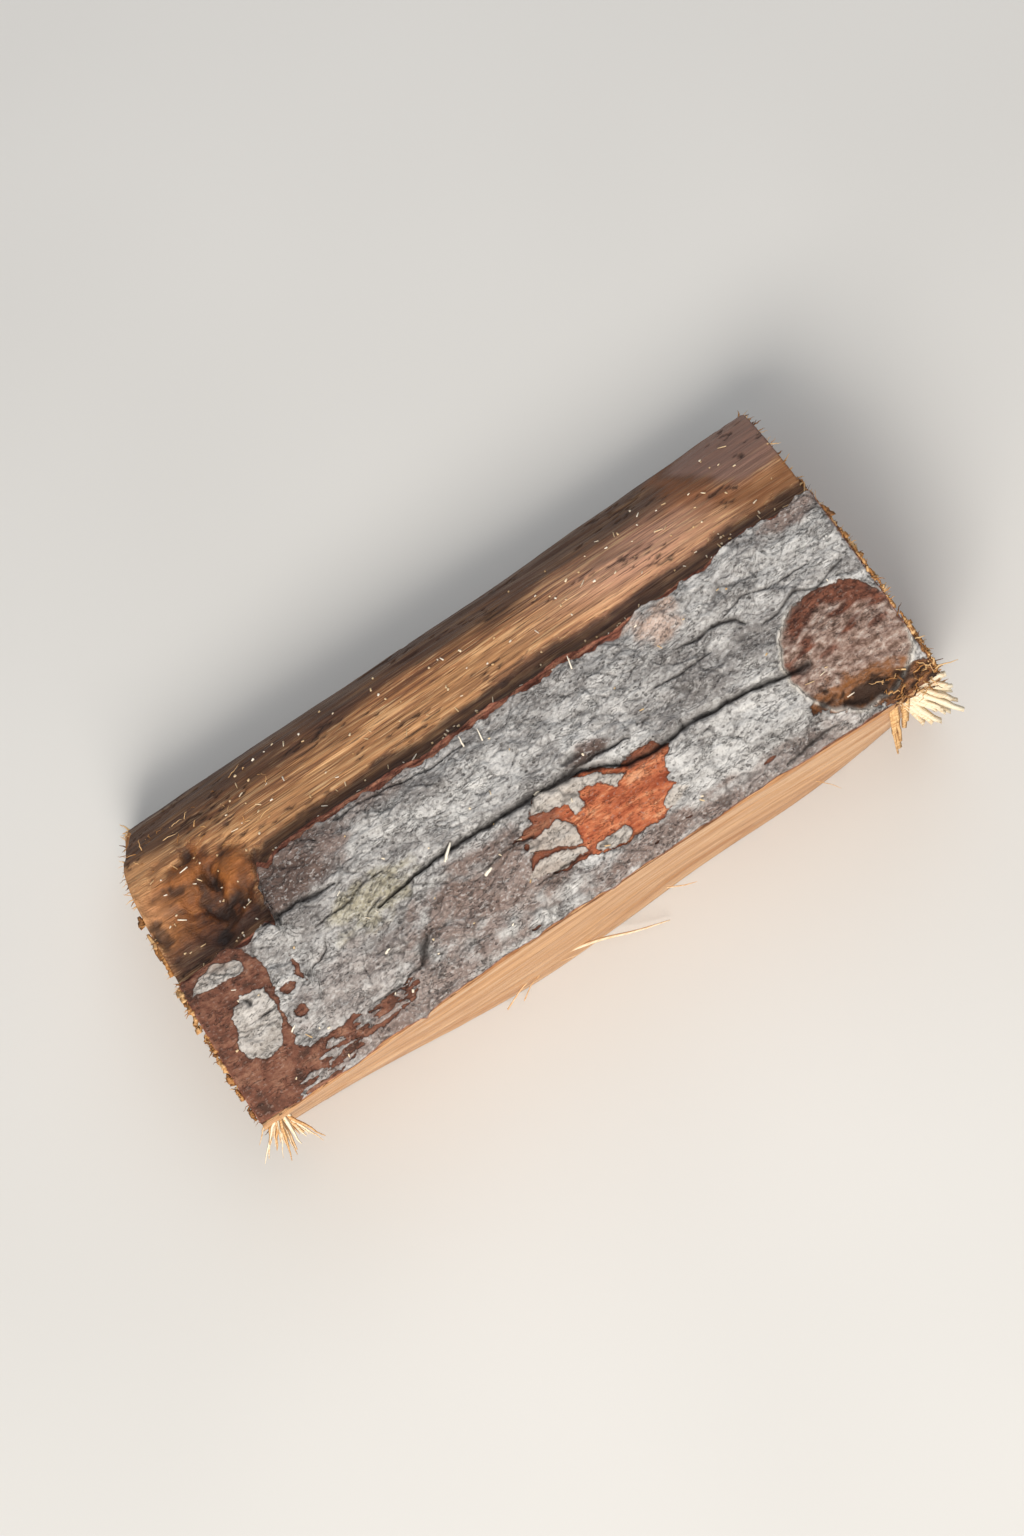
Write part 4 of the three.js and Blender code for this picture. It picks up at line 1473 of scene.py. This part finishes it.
dust_net, dice, place = Net(), np.random.default_rng(231), cells(16)
for number in range(CRUMBS):
    spot, up = crumb_spot(dice, number)
    long = dice.random() < LONG_CRUMBS
    reach = dice.uniform(1.0, 3.0) if long else dice.uniform(0.4, 1.1)
    heading = np.cross(up, dice.normal(0, 1, 3))
    heading = heading / np.linalg.norm(heading) + up * dice.uniform(-0.1, 0.4)
    share = np.linspace(-0.5, 0.5, 4)[:, None]
    route = spot + up * 0.25 + heading * reach * share
    width = dice.uniform(0.3, 0.6) if long else dice.uniform(0.4, 0.95)
    add_fibre(dust_net, route, width, width * 0.7, next(place), dice.uniform(0.2, 1.0), 0.6)
finished(dust_net, "sawdust", dust)

SLIVERS = [  # along, across, how far it reaches both ways, and its width
    (92, 35.5, 4.5, 4, 1.2), (100, 25.5, 3, 0.6, 1.5), (126, 38.5, 4, 0.2, 1.4), (122, 63, 0.5, 4, 0.6),
    (116, 64, 0.3, 3.5, 0.6), (158, 66, 1, 4, 0.6), (24, 20, 2, 1, 0.7), (61, 24, 2, 0.4, 0.9),
]
sliver_net, dice, place = Net(), np.random.default_rng(232), cells(3)
for a, c, along_reach, across_reach, width in SLIVERS:  # pale slivers that stand on the bark
    row = int(np.argmin(abs(along[:, 80] - a)))
    column = int(np.argmin(abs(across[row] - c)))
    start = bark_top[row, column]
    end = start + (along_reach, across_reach, 1.0)
    add_fibre(sliver_net, bent_route(start, end, 0.3, 0.05, dice), width, 0.4, next(place), 0.95, 0.5)
finished(sliver_net, "bark_slivers", dust)


# %% [markdown]
# ## Stage
# A plain pale floor and soft light. The key light stands to the front left and low enough for the
# bark's relief to throw small shadows. A broad fill lifts the back, a weak lamp stands overhead, and
# the pale world does the rest.

# %% Floor and lights
FLOOR_SIZE = 8
LIGHTS = [  # name, azimuth, elevation, distance, size, power and colour
    ("key", -28, 44, 1.6, 0.8, 27, "#fffaf3"),
    ("fill", 150, 50, 1.4, 1.2, 4, "#eef4ff"),
    ("top", 60, 80, 1.5, 0.9, 4, "#ffffff"),
]
WORLD_COLOUR, WORLD_STRENGTH = "#eef0f2", 0.34


def soft_light(name, azimuth, elevation, distance, size, power, colour):
    """A square area light aimed at the log."""
    data = bpy.data.lights.new(name, "AREA")
    data.size, data.energy, data.color = size, power, linear(colour)[:3]
    aimed(name, data, azimuth, elevation, distance)


def floor_finish():
    recipe = Recipe("floor")
    tone = recipe.ramp(recipe.clouds((300, 300, 300), 2), (0.3, "#cbc9c5"), (0.7, "#d3d1cd"))
    recipe.feed(recipe.shader.inputs["Base Color"], tone)
    recipe.shader.inputs["Roughness"].default_value = 0.75
    return recipe.material


bpy.ops.mesh.primitive_plane_add(size=FLOOR_SIZE)
floor = bpy.context.object
floor.name = "floor"
floor.data.materials.append(floor_finish())

for light in LIGHTS:
    soft_light(*light)

world = bpy.data.worlds.new("studio")
world.use_nodes = True
background = world.node_tree.nodes["Background"].inputs
background["Color"].default_value = linear(WORLD_COLOUR)
background["Strength"].default_value = WORLD_STRENGTH
bpy.context.scene.world = world
bpy.context.scene.view_settings.view_transform = "Standard"

# %% Print the CAD box
print("CAD box", [tuple(round(v, 4) for v in c) for c in cad_box])
